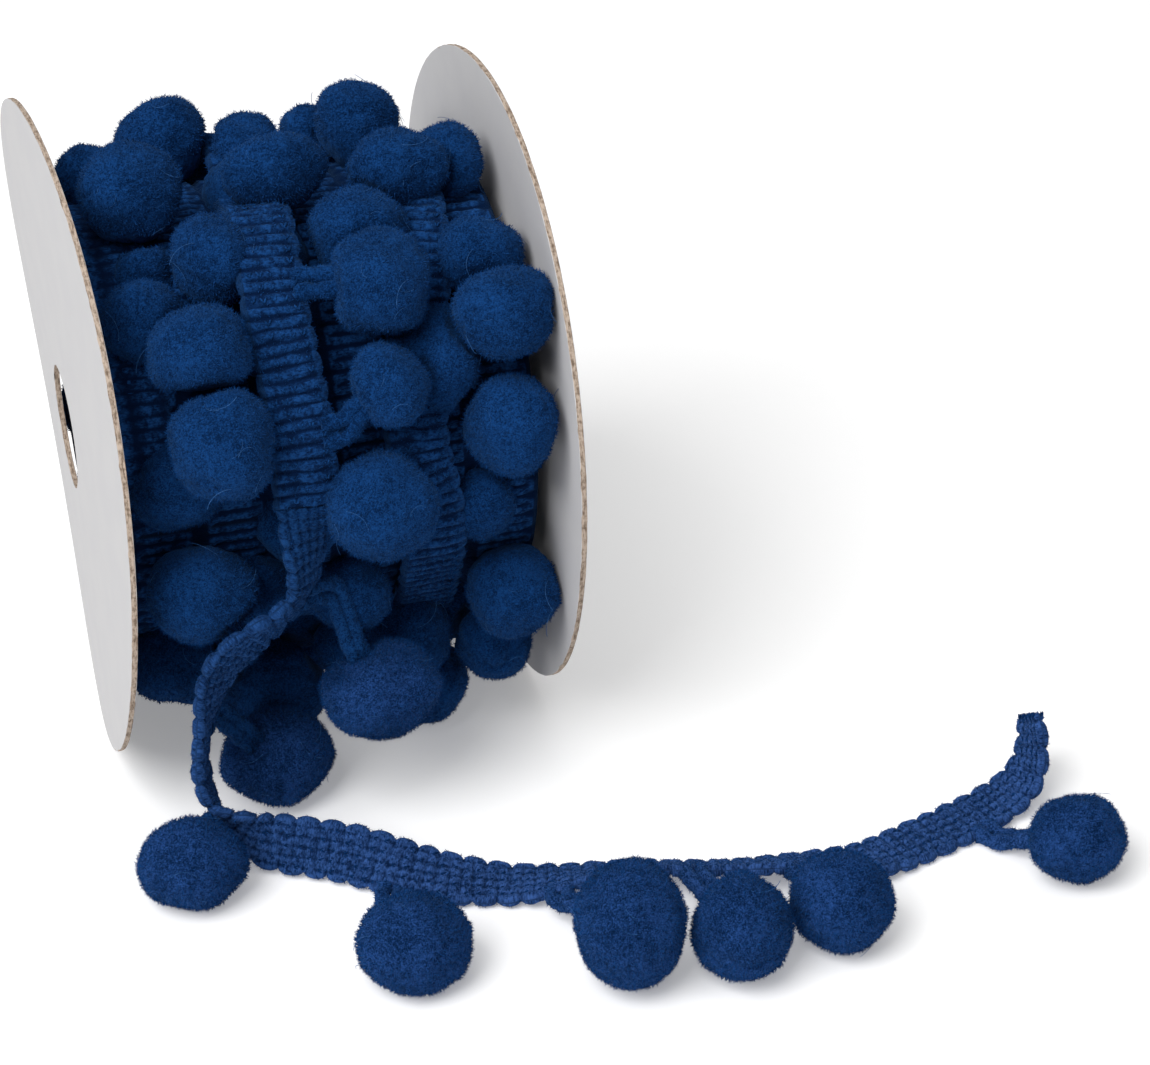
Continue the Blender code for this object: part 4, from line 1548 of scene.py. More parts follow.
    def stitches(
        self,
        name: str,
        tree: NodeTree,
        path: np.ndarray,
        edge: np.ndarray,
        material: Material,
        sides: tuple[int, ...],
    ) -> Object:
        """The chain stitches that hold the cords, on one or both faces of the strip.

        Args:
            name: the piece's name.
            tree: the tree that makes a stitch at each point.
            path: points of the middle line.
            edge: unit directions across it, towards the pompoms.
            material: the stitches' finish.
            sides: 1 for the strip's outer face, -1 for its inner one.

        Returns:
            The stitches.
        """
        path, edge, tangent, facing = self.rows(path, edge)
        travelled = travelled_along(path)
        lean = math.radians(self.stitch_lean)
        places, lie, face = [], [], []
        for side in sides:
            for line in self.line_places:
                across = np.full(len(path), line)
                drift = self.field(travelled, across, self.wander_size, 0) * self.wander
                crests = np.arange(self.pitch / 2, travelled[-1], self.pitch)
                at = np.unique([int(np.argmin(np.abs(travelled + drift - s))) for s in crests])
                high = self.height(travelled[at] + drift[at], across[at]) - self.stitch_sink
                for arm in (-1, 1):
                    aside = edge[at] * (line + arm * self.stitch_aside)
                    places.append(path[at] + aside + facing[at] * (side * high[:, None]))
                    lie.append(tangent[at] * math.cos(lean) + edge[at] * (arm * math.sin(lean)))
                    face.append(facing[at] * side)
        points = np.vstack(places)
        points[:, 2] = np.maximum(points[:, 2], self.stitch_height / 2)
        mesh = bpy.data.meshes.new(name + "_places")
        mesh.from_pydata(points.tolist(), [], [])
        put_attribute(mesh, "along", np.vstack(lie))
        put_attribute(mesh, "up", np.vstack(face))
        return grow(
            name,
            tree,
            mesh,
            {
                "Length": self.stitch_length,
                "Width": self.stitch_width,
                "Height": self.stitch_height,
                "Seed": self.seed + 3,
                "Material": material,
            },
        )


# The pompoms


@dataclass
class Pompom:
    """An oval ball of clipped wool."""

    name: str
    centre: np.ndarray
    halves: np.ndarray
    axes: np.ndarray
    seed: int
    weight: float = 1.0
    on_floor: bool = False
    root: np.ndarray | None = None
    contacts: list[tuple[np.ndarray, float]] = field(default_factory=list)


@dataclass
class PompomPacking:
    """Where every pompom lies, how those at the back are pushed apart, and what is flattened."""

    press: float = 2.0 * MM
    lump: float = 0.03
    lump_size: float = 1.4
    lowest_seat: float = 38.0 * MM
    highest_seat: float = 49.5 * MM
    rounds: int = 300
    homing: float = 0.03
    fixed: float = 1000.0
    contact_rounds: int = 4
    softness: float = 0.9 * MM
    floor_clearance: float = 0.5 * MM
    drum_from: float = 2.2 * MM
    drum_to: float = 73.6 * MM
    braid_width: float = 10.5 * MM
    back_seed: int = 7
    back_from: float = 137.0
    back_to: float = 292.0
    back_step: float = 22.0
    back_out: float = 47.5 * MM
    back_sink: tuple[float, float] = (7.0 * MM, 4.5 * MM)
    back_size: float = 18.4 * MM
    back_pitch: float = 21.0 * MM
    back_jitter: float = 1.5 * MM
    back_stagger: tuple[float, float] = (-4.0, 6.0)
    back_turn_jitter: float = 2.0
    back_sizes: tuple[float, float] = (0.92, 1.06)
    under_out: float = 38.0 * MM
    under_size: float = 15.0 * MM
    under_weight: float = 0.3
    under_front: tuple[float, ...] = (-4.0, 20.0, 44.0, 66.0, 92.0, 114.0)
    groups: dict[Group, list[Pompom]] = field(default_factory=dict)

    def settle_all(self) -> "PompomPacking":
        """Places every group and presses the pompoms together.

        Returns:
            The same packing.
        """
        self.groups[Group.FRONT] = [
            self.wound(
                p.name, p.along * MM, p.around, p.out * MM, p.wide * MM, p.tall * MM, i, self.fixed
            )
            for i, p in enumerate(FRONT_POMPOMS)
        ]
        self.groups[Group.BACK] = self.back()
        self.groups[Group.UNDER] = self.under()
        self.groups[Group.LOOSE] = self.loose()
        self.settle([ball for group in self.groups.values() for ball in group])
        return self

    def wound(
        self,
        name: str,
        along: float,
        around: float,
        out: float,
        wide: float,
        tall: float,
        seed: int,
        weight: float = 1.0,
    ) -> Pompom:
        """A pompom on the reel, its outer end facing straight out.

        Args:
            name: its name.
            along: its place along the axle.
            around: degrees up from the front.
            out: its distance from the axle.
            wide: its width along the axle.
            tall: its height across the axle.
            seed: what sets its lumps.
            weight: how hard it is to push aside.

        Returns:
            The pompom.
        """
        turn = math.radians(around)
        away = Vector((0, -math.cos(turn), math.sin(turn)))
        sideways = Vector((1, 0, 0))
        axes = np.array([sideways, away.cross(sideways), away])
        halves = np.array([wide / 2, tall / 2, (wide + tall) / 4])
        return Pompom(name, np.array(AXLE.point(along, around, out)), halves, axes, seed, weight)

    def lane_at(self, around: float) -> float:
        """X of the outermost turn's middle line at an angle."""
        angles = [t.around for t in OUTER_TURN]
        return float(np.interp(around, angles, [t.along for t in OUTER_TURN])) * MM

    def back(self) -> list[Pompom]:
        """Rows of pompoms on the back, as many each side of the outermost turn as fit.

        Returns:
            The pompoms.
        """
        jitter = np.random.default_rng(self.back_seed)
        found: list[Pompom] = []
        rows = np.arange(self.back_from, self.back_to, self.back_step)
        sinks = {0: self.back_sink[0], len(rows) - 1: self.back_sink[1]}
        for row, around in enumerate(rows):
            lane = self.lane_at(around)
            sides = (
                (self.drum_from, lane - self.braid_width / 2),
                (lane + self.braid_width / 2, self.drum_to),
            )
            for low, high in sides:
                count = max(1, round((high - low) / self.back_pitch))
                for slot in range(count):
                    along = low + (high - low) * (slot + 0.5) / count
                    along += jitter.uniform(-1, 1) * self.back_jitter
                    turn = around + self.back_stagger[(slot + row) % 2]
                    turn += jitter.uniform(-1, 1) * self.back_turn_jitter
                    wide, tall = self.back_size * jitter.uniform(*self.back_sizes, 2)
                    out = self.back_out + jitter.uniform(-1, 1) * self.back_jitter
                    out -= sinks.get(row, 0)
                    name, seed = f"back_{len(found)}", Group.BACK.value + len(found)
                    found.append(self.wound(name, along, turn, out, wide, tall, seed))
        return found

    def under(self) -> list[Pompom]:
        """The layer below, which fills the spaces beneath the outermost turn.

        Returns:
            The pompoms.
        """
        behind = np.arange(self.back_from + self.back_step / 2, self.back_to, self.back_step)
        size = (self.under_size, self.under_size)
        found = []
        for i, around in enumerate((*self.under_front, *behind)):
            place = (self.lane_at(around), around, self.under_out)
            seed = Group.UNDER.value + i
            found.append(self.wound(f"under_{i}", *place, *size, seed, self.under_weight))
        return found

    def loose(self) -> list[Pompom]:
        """The pompoms of the loose end, all but the first of them resting on the floor.

        Returns:
            The pompoms.
        """
        found = []
        for i, p in enumerate(LOOSE_POMPOMS):
            halves = np.array((p.wide, (p.wide + p.tall) / 2, p.tall)) * MM / 2
            centre = np.array((p.x * MM, p.y * MM, p.z * MM or halves[2]))
            seed = Group.LOOSE.value + i
            ball = Pompom(p.name, centre, halves, np.eye(3), seed, self.fixed, on_floor=p.z == 0)
            found.append(ball)
        return found

    def pair_table(
        self, places: np.ndarray, halves: np.ndarray, axes: np.ndarray
    ) -> tuple[np.ndarray, np.ndarray, np.ndarray]:
        """For every pair: the direction to the first, the distance, and the first's reach.

        Args:
            places: the middle of each pompom.
            halves: half its size on each of its axes.
            axes: its axes.

        Returns:
            The three, a row and a column for each pompom.
        """
        apart = places[:, None, :] - places[None, :, :]
        distance = np.linalg.norm(apart, axis=2) + np.eye(len(places))
        direction = apart / distance[:, :, None]
        along_axes = np.einsum("ijk,iak->ija", direction, axes)
        reach = np.sqrt(((along_axes * halves[:, None, :]) ** 2).sum(axis=2))
        return direction, distance, reach

    def keep_seated(self, balls: list[Pompom], places: np.ndarray) -> None:
        """Moves the pompoms of the back between the cards and to a depth on the windings.

        Args:
            balls: all the pompoms.
            places: their middles, which are changed.
        """
        left, right = CARDS
        for i, ball in enumerate(balls):
            if ball.weight == self.fixed:
                continue
            up = places[i, 2] - AXLE.height
            reach = math.hypot(places[i, 1], up)
            seat = min(max(reach, self.lowest_seat), self.highest_seat) / reach
            places[i, 1] *= seat
            places[i, 2] = AXLE.height + up * seat
            room = AXLE.card_thickness / 2 + GAP + ball.halves[0] - self.press / 2
            low = AXLE.card_x(left, places[i, 1], places[i, 2]) + room
            high = AXLE.card_x(right, places[i, 1], places[i, 2]) - room
            places[i, 0] = min(max(places[i, 0], low), high)

    def settle(self, balls: list[Pompom]) -> None:
        """Pushes the pompoms of the back apart, and finds where all of them press on others.

        Args:
            balls: all the pompoms, whose middles and contacts are set.
        """
        home = np.array([ball.centre for ball in balls])
        halves = np.array([ball.halves for ball in balls])
        axes = np.array([ball.axes for ball in balls])
        weights = np.array([ball.weight for ball in balls])
        share = weights[None, :] / (weights[:, None] + weights[None, :])
        share[weights == self.fixed] = 0
        places = home.copy()
        for _ in range(self.rounds):
            direction, distance, reach = self.pair_table(places, halves, axes)
            short = np.clip(reach + reach.T - self.press - distance, 0, None)
            np.fill_diagonal(short, 0)
            places += 0.5 * ((short * share)[:, :, None] * direction).sum(axis=1)
            places += self.homing * (home - places)
            self.keep_seated(balls, places)
        direction, distance, reach = self.pair_table(places, halves * (1 + self.lump), axes)
        for i, ball in enumerate(balls):
            ball.centre = places[i]
            for j in range(len(balls)):
                if i == j or reach[i, j] + reach[j, i] + GAP < distance[i, j]:
                    continue
                longer = (reach[i, j] ** 2 - reach[j, i] ** 2) / (2 * distance[i, j])
                limit = distance[i, j] / 2 + longer - GAP / 2
                ball.contacts.append((-direction[i, j], limit))

    def flatten(self, ball: Pompom, points: np.ndarray) -> np.ndarray:
        """The points moved back behind each contact of the pompom, the cards and the floor.

        Args:
            ball: the pompom.
            points: points of its surface.

        Returns:
            The moved points.
        """
        for turn in range(self.contact_rounds):
            soft = self.softness if turn == self.contact_rounds - 1 else 0.0
            for away, limit in ball.contacts:
                past = (points - ball.centre) @ away - limit
                past = (past + np.sqrt(past**2 + soft**2)) / 2
                points = points - away * past[:, None]
        floor = 0 if ball.on_floor else self.floor_clearance
        points[:, 2] = np.maximum(points[:, 2], floor)
        reach = np.hypot(points[:, 1], points[:, 2] - AXLE.height)
        inside = reach < AXLE.card_radius + GAP
        room = AXLE.card_thickness / 2 + GAP
        left, right = (AXLE.card_x(card, points[:, 1], points[:, 2]) for card in CARDS)
        kept = np.clip(points[:, 0], left + room, right - room)
        points[:, 0] = np.where(inside, kept, points[:, 0])
        return points


@dataclass
class WoolBall:
    """How a pompom's surface is clipped: bulges, tufts, creases and the dimple of its loop."""

    packing: PompomPacking
    bulge_size: float = 8.0
    bulge_depth: float = 1.1 * MM
    tuft_size: float = 2.0
    tuft_depth: float = 0.28 * MM
    nap_size: float = 0.75
    nap_depth: float = 0.14 * MM
    crease_size: float = 9.0
    crease_depth: float = 0.3 * MM
    crease_width: float = 0.08
    crease_gain: float = 3.0
    nap_room: float = 0.35 * MM
    pear: float = 0.07
    dimple_depth: float = 1.6 * MM
    dimple_width: float = 0.4
    open_facing: float = -0.25
    open_press: float = 0.7 * MM
    open_height: float = 0.3 * MM

    def mesh(self, ball: Pompom, detail: int, material: Material) -> Mesh:
        """One pompom.

        Args:
            ball: its place and size.
            detail: how many times an icosahedron's faces are divided.
            material: its finish.

        Returns:
            A closed mesh, with an open attribute that is 1 where fibres can stand out.
        """
        bm = bmesh.new()
        bmesh.ops.create_icosphere(bm, subdivisions=detail, radius=1)
        mesh = bpy.data.meshes.new(ball.name)
        bm.to_mesh(mesh)
        bm.free()
        sphere = np.empty(len(mesh.vertices) * 3, np.float32)
        mesh.vertices.foreach_get("co", sphere)
        sphere = unit(sphere.reshape(-1, 3).astype(float))
        shift = Vector((ball.seed * 3.7, ball.seed * 1.3, 0))
        lump = np.array([noise.noise(Vector(p) * self.packing.lump_size + shift) for p in sphere])
        stem = unit(np.random.default_rng(ball.seed).normal(size=(1, 3)))[0]
        taper = 1 + self.pear * (sphere @ stem)
        local = sphere * ball.halves * (taper + self.packing.lump * lump)[:, None]
        points = ball.centre + local @ ball.axes
        away = unit((sphere / ball.halves) @ ball.axes)
        if ball.root is not None:
            to_root = unit((ball.root - ball.centre)[None, :])[0]
            near = np.exp(-(((1 - away @ to_root) / self.dimple_width**2) ** 2))
            points -= away * (near * self.dimple_depth)[:, None]
        pressed = self.packing.flatten(ball, points.copy())
        moved = np.linalg.norm(pressed - points, axis=1)
        points = pressed + away * self.relief(ball, pressed)[:, None]
        points[:, 2] = np.maximum(points[:, 2], FLOOR_SKIN)
        mesh.vertices.foreach_set("co", points.astype(np.float32).ravel())
        from_axle = points - np.array((0, 0, AXLE.height))
        from_axle[:, 0] = 0
        outer = (away * unit(from_axle)).sum(axis=1) > self.open_facing
        free = (moved < self.open_press) & (outer | (ball.seed >= Group.LOOSE.value))
        put_attribute(mesh, "open", (free & (points[:, 2] > self.open_height)).astype(float))
        mesh.update()
        mesh.shade_smooth()
        mesh.materials.append(material)
        return mesh

    def relief(self, ball: Pompom, points: np.ndarray) -> np.ndarray:
        """How far the clipped wool stands out of the ball at each point.

        Args:
            ball: the pompom, whose seed sets the relief.
            points: points of its surface.

        Returns:
            The height at each point.
        """
        depth = np.empty(len(points))
        shift = Vector((0, 0, ball.seed))
        for i, point in enumerate(points):
            place = Vector(point) / MM
            bulge = noise.noise(place / self.bulge_size + shift)
            tuft = noise.noise(place / self.tuft_size + shift)
            nap = noise.noise(place / self.nap_size + shift)
            crease = abs(noise.noise(place / self.crease_size - shift))
            depth[i] = bulge * self.bulge_depth + tuft * self.tuft_depth + nap * self.nap_depth
            depth[i] -= self.nap_room
            sharp = max(0.0, 1 - crease / self.crease_width)
            depth[i] -= sharp * max(0.0, self.crease_gain * bulge) * self.crease_depth
        return depth


# The two sub-assemblies of trim


@dataclass
class TrimShop:
    """The finishes and geometry trees that both parts of the trim share."""

    felt: Material
    nap: Material
    braid: Material
    knot: Material
    hair: Material
    deep_braid: Material
    open_cord: Material
    open_felt: Material
    open_braid: Material
    stitch: Material
    cord: Material
    fuzz_tree: NodeTree
    hair_tree: NodeTree
    stitch_tree: NodeTree
    cord_tree: NodeTree
    packing: PompomPacking
    cord_radius: float = 1.38 * MM
    reel_cord_radius: float = 1.55 * MM
    cord_step: float = 0.5 * MM
    cord_floor_gap: float = 0.2 * MM
    strand_gap: float = 0.95
    loop_lean: float = 0.8
    bright_from: float = -50 * MM
    bright_over: float = 40 * MM
    root_sink: float = 2.0 * MM
    plies: float = 2.0
    ply_depth: float = 0.1
    ply_twist: float = 700.0
    cord_lumps: float = 0.9 * MM
    cord_lump_size: float = 1.1 * MM
    fuzz_width: float = 0.09 * MM
    fuzz_lean: float = 0.9
    hair_curl: float = 3.2 * MM
    hair_width: float = 0.045 * MM

    @classmethod
    def opened(cls) -> "TrimShop":
        """A shop with everything made.

        Returns:
            The shop.
        """
        light = (0.0095, 0.062, 0.225)
        return cls(
            felt=FeltFinish().material("wool_felt"),
            # Painted light: the fibres get a paler copy of the felt, for light that passes through
            # them.
            nap=FeltFinish(dark=(0.003, 0.025, 0.1), light=light).material("wool_nap"),
            braid=YarnFinish().material("braid_yarn"),
            # Painted light: the pompoms of the loose end get a paler copy of the felt, as if more
            # brightly lit.
            open_felt=FeltFinish(light=(0.018, 0.064, 0.228)).material("open_felt"),
            # Painted light: the windings deep under the trim get a paler copy of the braid yarn,
            # lifting their shade.
            deep_braid=YarnFinish(light=(0.013, 0.078, 0.275)).material("deep_yarn"),
            # Painted shade and light: the loose strip is a little darker than the braid near the
            # reel, in its shade, and much paler further along, where it lies lit on the floor.
            open_braid=YarnFinish(
                light=(0.0075, 0.05, 0.175),
                far=(0.038, 0.1, 0.31),
                lumps=0.8,
                groove=(0.25, 0.75),
            ).material("open_yarn"),
            # Painted light: the loose loops get a paler copy of the felt, paler still towards the
            # front.
            open_cord=FeltFinish(
                light=(0.0075, 0.052, 0.185), far=(0.027, 0.08, 0.265), contrast=1.6
            ).material("open_cord"),
            knot=FeltFinish(light=(0.0085, 0.06, 0.215), sheen=0.08).material("knot_yarn"),
            hair=FeltFinish(
                dark=(0.012, 0.06, 0.19), light=(0.045, 0.14, 0.36)
            ).material("stray_hair"),
            # Painted shade: the loose strip's stitches get a darker copy of the felt, so that the
            # stitch lines read as shaded grooves.
            stitch=FeltFinish(light=(0.004, 0.03, 0.12), sheen=0.05).material("stitch_yarn"),
            cord=FeltFinish(contrast=1.5).material("loop_yarn"),
            fuzz_tree=wool_fuzz_tree(),
            hair_tree=stray_hair_tree(),
            stitch_tree=chain_stitch_tree(),
            cord_tree=twisted_cord_tree(),
            packing=PompomPacking().settle_all(),
        )

    def pompoms(
        self, name: str, balls: list[Pompom], detail: int, felt: Material | None = None
    ) -> Object:
        """A group of pompoms as one piece.

        Args:
            name: the piece's name.
            balls: the pompoms.
            detail: how many times an icosahedron's faces are divided.
            felt: their finish, where it isn't the usual one.

        Returns:
            The pompoms, as a piece.
        """
        clipped = WoolBall(self.packing)
        meshes = [clipped.mesh(ball, detail, felt or self.felt) for ball in balls]
        return finish_piece(link(name, joined(name, meshes)), "blue_yarn")

    def fuzz(self, source: Object, per_mm2: float, length: float, seed: int) -> Object:
        """The short fibres of a piece.

        Args:
            source: the piece, with an open attribute.
            per_mm2: how many fibres stand on a square millimetre.
            length: how long they are, in metres.
            seed: what places them.

        Returns:
            The fibres, as a piece.
        """
        inputs = {
            "Density": per_mm2 / MM**2,
            "Length": length,
            "Width": self.fuzz_width,
            "Lean": self.fuzz_lean,
            "Seed": seed,
            "Material": self.nap,
        }
        grown = grow(source.name + "_fuzz", self.fuzz_tree, source.data.copy(), inputs)
        return finish_piece(grown, "blue_yarn")

    def hairs(self, source: Object, per_mm2: float, seed: int) -> Object:
        """The few long hairs that lie loose on a piece with an open attribute.

        Args:
            source: the piece, with an open attribute.
            per_mm2: how many hairs lie on a square millimetre.
            seed: what places them.

        Returns:
            The hairs, as a piece.
        """
        inputs = {
            "Density": per_mm2 / MM**2,
            "Curl": self.hair_curl,
            "Width": self.hair_width,
            "Seed": seed,
            "Material": self.hair,
        }
        grown = grow(source.name + "_hairs", self.hair_tree, source.data.copy(), inputs)
        return finish_piece(grown, "blue_yarn")

    def strand_points(
        self,
        start: np.ndarray,
        edge: np.ndarray,
        along: np.ndarray,
        ball: Pompom,
        radius: float,
    ) -> list[np.ndarray]:
        """The middle lines of the two strands of a pompom's loop.

        Args:
            start: where the loop leaves the strip's middle line.
            edge: the direction across the strip, towards the pompoms.
            along: the direction along the strip.
            ball: the pompom on the loop.
            radius: half a strand's thickness.

        Returns:
            Two rows of points.
        """
        leave = start + edge * (Braid.width / 2 - self.root_sink)
        arm = ball.centre - leave
        level = unit((arm * (1, 1, 0))[None, :])[0]
        out = unit((edge + level * self.loop_lean)[None, :])[0]
        bow = BOWED.get(ball.name, 1.0) * MM
        lines = []
        for side in (-1, 1):
            offset = along * (side * radius * self.strand_gap)
            rows = [
                leave + offset * place.spread + arm * place.way + out * place.out * bow
                for place in LOOP_STRAND
            ]
            points = smooth_points(rows, self.cord_step)
            points[:, 2] = np.maximum(points[:, 2], radius + self.cord_floor_gap)
            lines.append(points)
        return lines

    def loops(self, name: str, lines: list[np.ndarray], radius: float, yarn: Material) -> Object:
        """All the loops of a part of the trim as one piece of twisted cord.

        Args:
            name: the piece's name.
            lines: the middle line of each strand.
            radius: half a strand's thickness.
            yarn: its finish.

        Returns:
            The loops, as a piece.
        """
        points = np.vstack(lines)
        edges, first = [], 0
        for line in lines:
            edges += [(first + i, first + i + 1) for i in range(len(line) - 1)]
            first += len(line)
        mesh = bpy.data.meshes.new(name + "_lines")
        mesh.from_pydata(points.tolist(), edges, [])
        inputs = {
            "Radius": radius,
            "Plies": self.plies,
            "Ply Depth": self.ply_depth,
            "Twist": self.ply_twist,
            "Lumps": self.cord_lumps,
            "Lump Size": self.cord_lump_size,
            "Material": yarn,
        }
        obj = grow(name, self.cord_tree, mesh, inputs)
        places = np.array([vertex.co for vertex in obj.data.vertices])
        put_attribute(obj.data, "open", np.ones(len(places)))
        # Painted light: away rises towards the front, from bright_from over bright_over, and the
        # finish turns the loops paler there.
        away = np.clip((self.bright_from - places[:, 1]) / self.bright_over, 0, 1)
        put_attribute(obj.data, "away", away)
        return finish_piece(obj, "blue_yarn")


@dataclass
class WoundTrim:
    """The trim that is wound on the reel."""

    shop: TrimShop
    drum_radius: float = 39.6 * MM
    drum_bore: float = 13.85 * MM
    drum_from: float = 2.2 * MM
    drum_to: float = 72.6 * MM
    lanes: int = 6
    drum_columns: int = 64
    drum_samples: int = 4
    step: float = 2.1 * MM

    def build(self) -> None:
        """Makes the windings, the outermost turns, the pompoms and the two loops that show."""
        shop = self.shop
        finish_piece(link("wound_turns", self.drum_mesh()), "blue_yarn", "wound_trim")
        outer = Braid(
            width=11.3 * MM,
            samples=8,
            under_step=6,
            row_depth=0.85,
            draw_in=0.2,
            line_shade=0.0,
            notch=0.7 * MM,
            wander=0.5 * MM,
            swell=0.5,
            join=1.2 * MM,
            rim=0.3 * MM,
            seed=11,
        )
        path, edge = self.turn_rows(OUTER_TURN)
        strip = link("outer_turn", outer.surface("outer_turn", path, edge, shop.braid))
        finish_piece(strip, "blue_yarn")
        side = self.outer_side(path, edge)
        stitches = outer.stitches(
            "outer_turn_stitches", shop.stitch_tree, path, edge, shop.knot, (side,)
        )
        finish_piece(stitches, "blue_yarn")
        shop.fuzz(strip, per_mm2=2.5, length=0.45 * MM, seed=7)
        left = Braid(samples=4, under_step=6, seed=23)
        strip = left.surface("left_turn", *self.turn_rows(LEFT_TURN), shop.deep_braid)
        finish_piece(link("left_turn", strip), "blue_yarn")
        shop.fuzz(self.build_loops(), per_mm2=4.0, length=0.6 * MM, seed=8)
        groups = shop.packing.groups
        front = shop.pompoms("front_pompoms", groups[Group.FRONT], detail=5)
        shop.fuzz(front, per_mm2=5.0, length=0.7 * MM, seed=1)
        shop.hairs(front, per_mm2=0.012, seed=12)
        back = shop.pompoms("back_pompoms", groups[Group.BACK], detail=4)
        shop.fuzz(back, per_mm2=2.5, length=0.7 * MM, seed=2)
        shop.pompoms("under_pompoms", groups[Group.UNDER], detail=4)

    def turn_rows(self, turns: tuple[Turn, ...]) -> tuple[np.ndarray, np.ndarray]:
        """Middle line and edge direction of a turn of braid round the reel.

        Args:
            turns: places on the turn.

        Returns:
            A row of each for every place.
        """
        rows = [tuple(AXLE.point(t.along * MM, t.around, t.out * MM)) for t in turns]
        path = smooth_points(rows, self.step)
        edge, _ = square_to(np.tile((1.0, 0.0, 0.0), (len(path), 1)), path)
        return path, edge

    def outer_side(self, path: np.ndarray, edge: np.ndarray) -> int:
        """Which face of a turn looks away from the axle: 1 or -1.

        Args:
            path: points of the middle line.
            edge: directions across it.

        Returns:
            The face's side.
        """
        facing = np.cross(path[1] - path[0], edge[0])
        away = path[0] - np.array((path[0][0], 0, AXLE.height))
        return 1 if facing @ away > 0 else -1

    def drum_mesh(self) -> Mesh:
        """The lower windings: lanes of braid side by side round the core, closed at both ends.

        Returns:
            A closed mesh with a map and a crest attribute, which sets the painted shade of its
            grooves.
        """
        weave = Braid(row_depth=0.8)
        rows = round(math.tau * self.drum_radius / weave.pitch) // 2 * 2
        angles = np.linspace(0, math.tau, rows * self.drum_samples, endpoint=False)
        along = angles / math.tau * rows * weave.pitch
        x = np.linspace(self.drum_from, self.drum_to, self.drum_columns)
        lane_width = (self.drum_to - self.drum_from) / self.lanes
        across = ((x - self.drum_from) % lane_width) - lane_width / 2
        high = weave.height(
            np.repeat(along[:, None], len(x), axis=1),
            np.repeat(across[None, :], len(along), axis=0),
        )
        bore = np.full((len(along), 1), self.drum_bore)
        radius = np.hstack([bore, self.drum_radius - weave.cord + high, bore])
        x = np.r_[x[0], x, x[-1]]
        points = np.stack(
            [
                np.repeat(x[None, :], len(along), axis=0),
                -radius * np.cos(angles)[:, None],
                AXLE.height + radius * np.sin(angles)[:, None],
            ],
            axis=-1,
        )
        faces = wheel_faces(len(along), len(x))
        mesh = mesh_of("wound_turns", points.reshape(-1, 3), faces, self.shop.deep_braid)
        places = np.stack(np.broadcast_arrays(along[:, None], x[None, :]), axis=-1)
        put_map(mesh, places.reshape(-1, 2) / MM)
        # Painted shade: crest is low in the grooves between the cords, and the finish darkens them.
        crest = np.hstack([bore * 0, high / weave.cord, bore * 0])
        put_attribute(mesh, "crest", crest.ravel())
        return outward(mesh)

    def build_loops(self) -> Object:
        """The two loops that cross from the outermost turn to their pompoms.

        Returns:
            The loops, as a piece.
        """
        radius = self.shop.reel_cord_radius
        lines = []
        for ball in self.shop.packing.groups[Group.FRONT]:
            if ball.name not in LOOPED:
                continue
            around = LOOPED[ball.name]
            lane = self.shop.packing.lane_at(around)
            start = np.array(AXLE.point(lane, around, OUTER_TURN[0].out * MM))
            turn = math.radians(around)
            along = np.array((0, math.sin(turn), math.cos(turn)))
            lines += self.shop.strand_points(start, np.array((1.0, 0, 0)), along, ball, radius)
            ball.root = start
        return self.shop.loops("reel_loops", lines, radius, self.shop.cord)


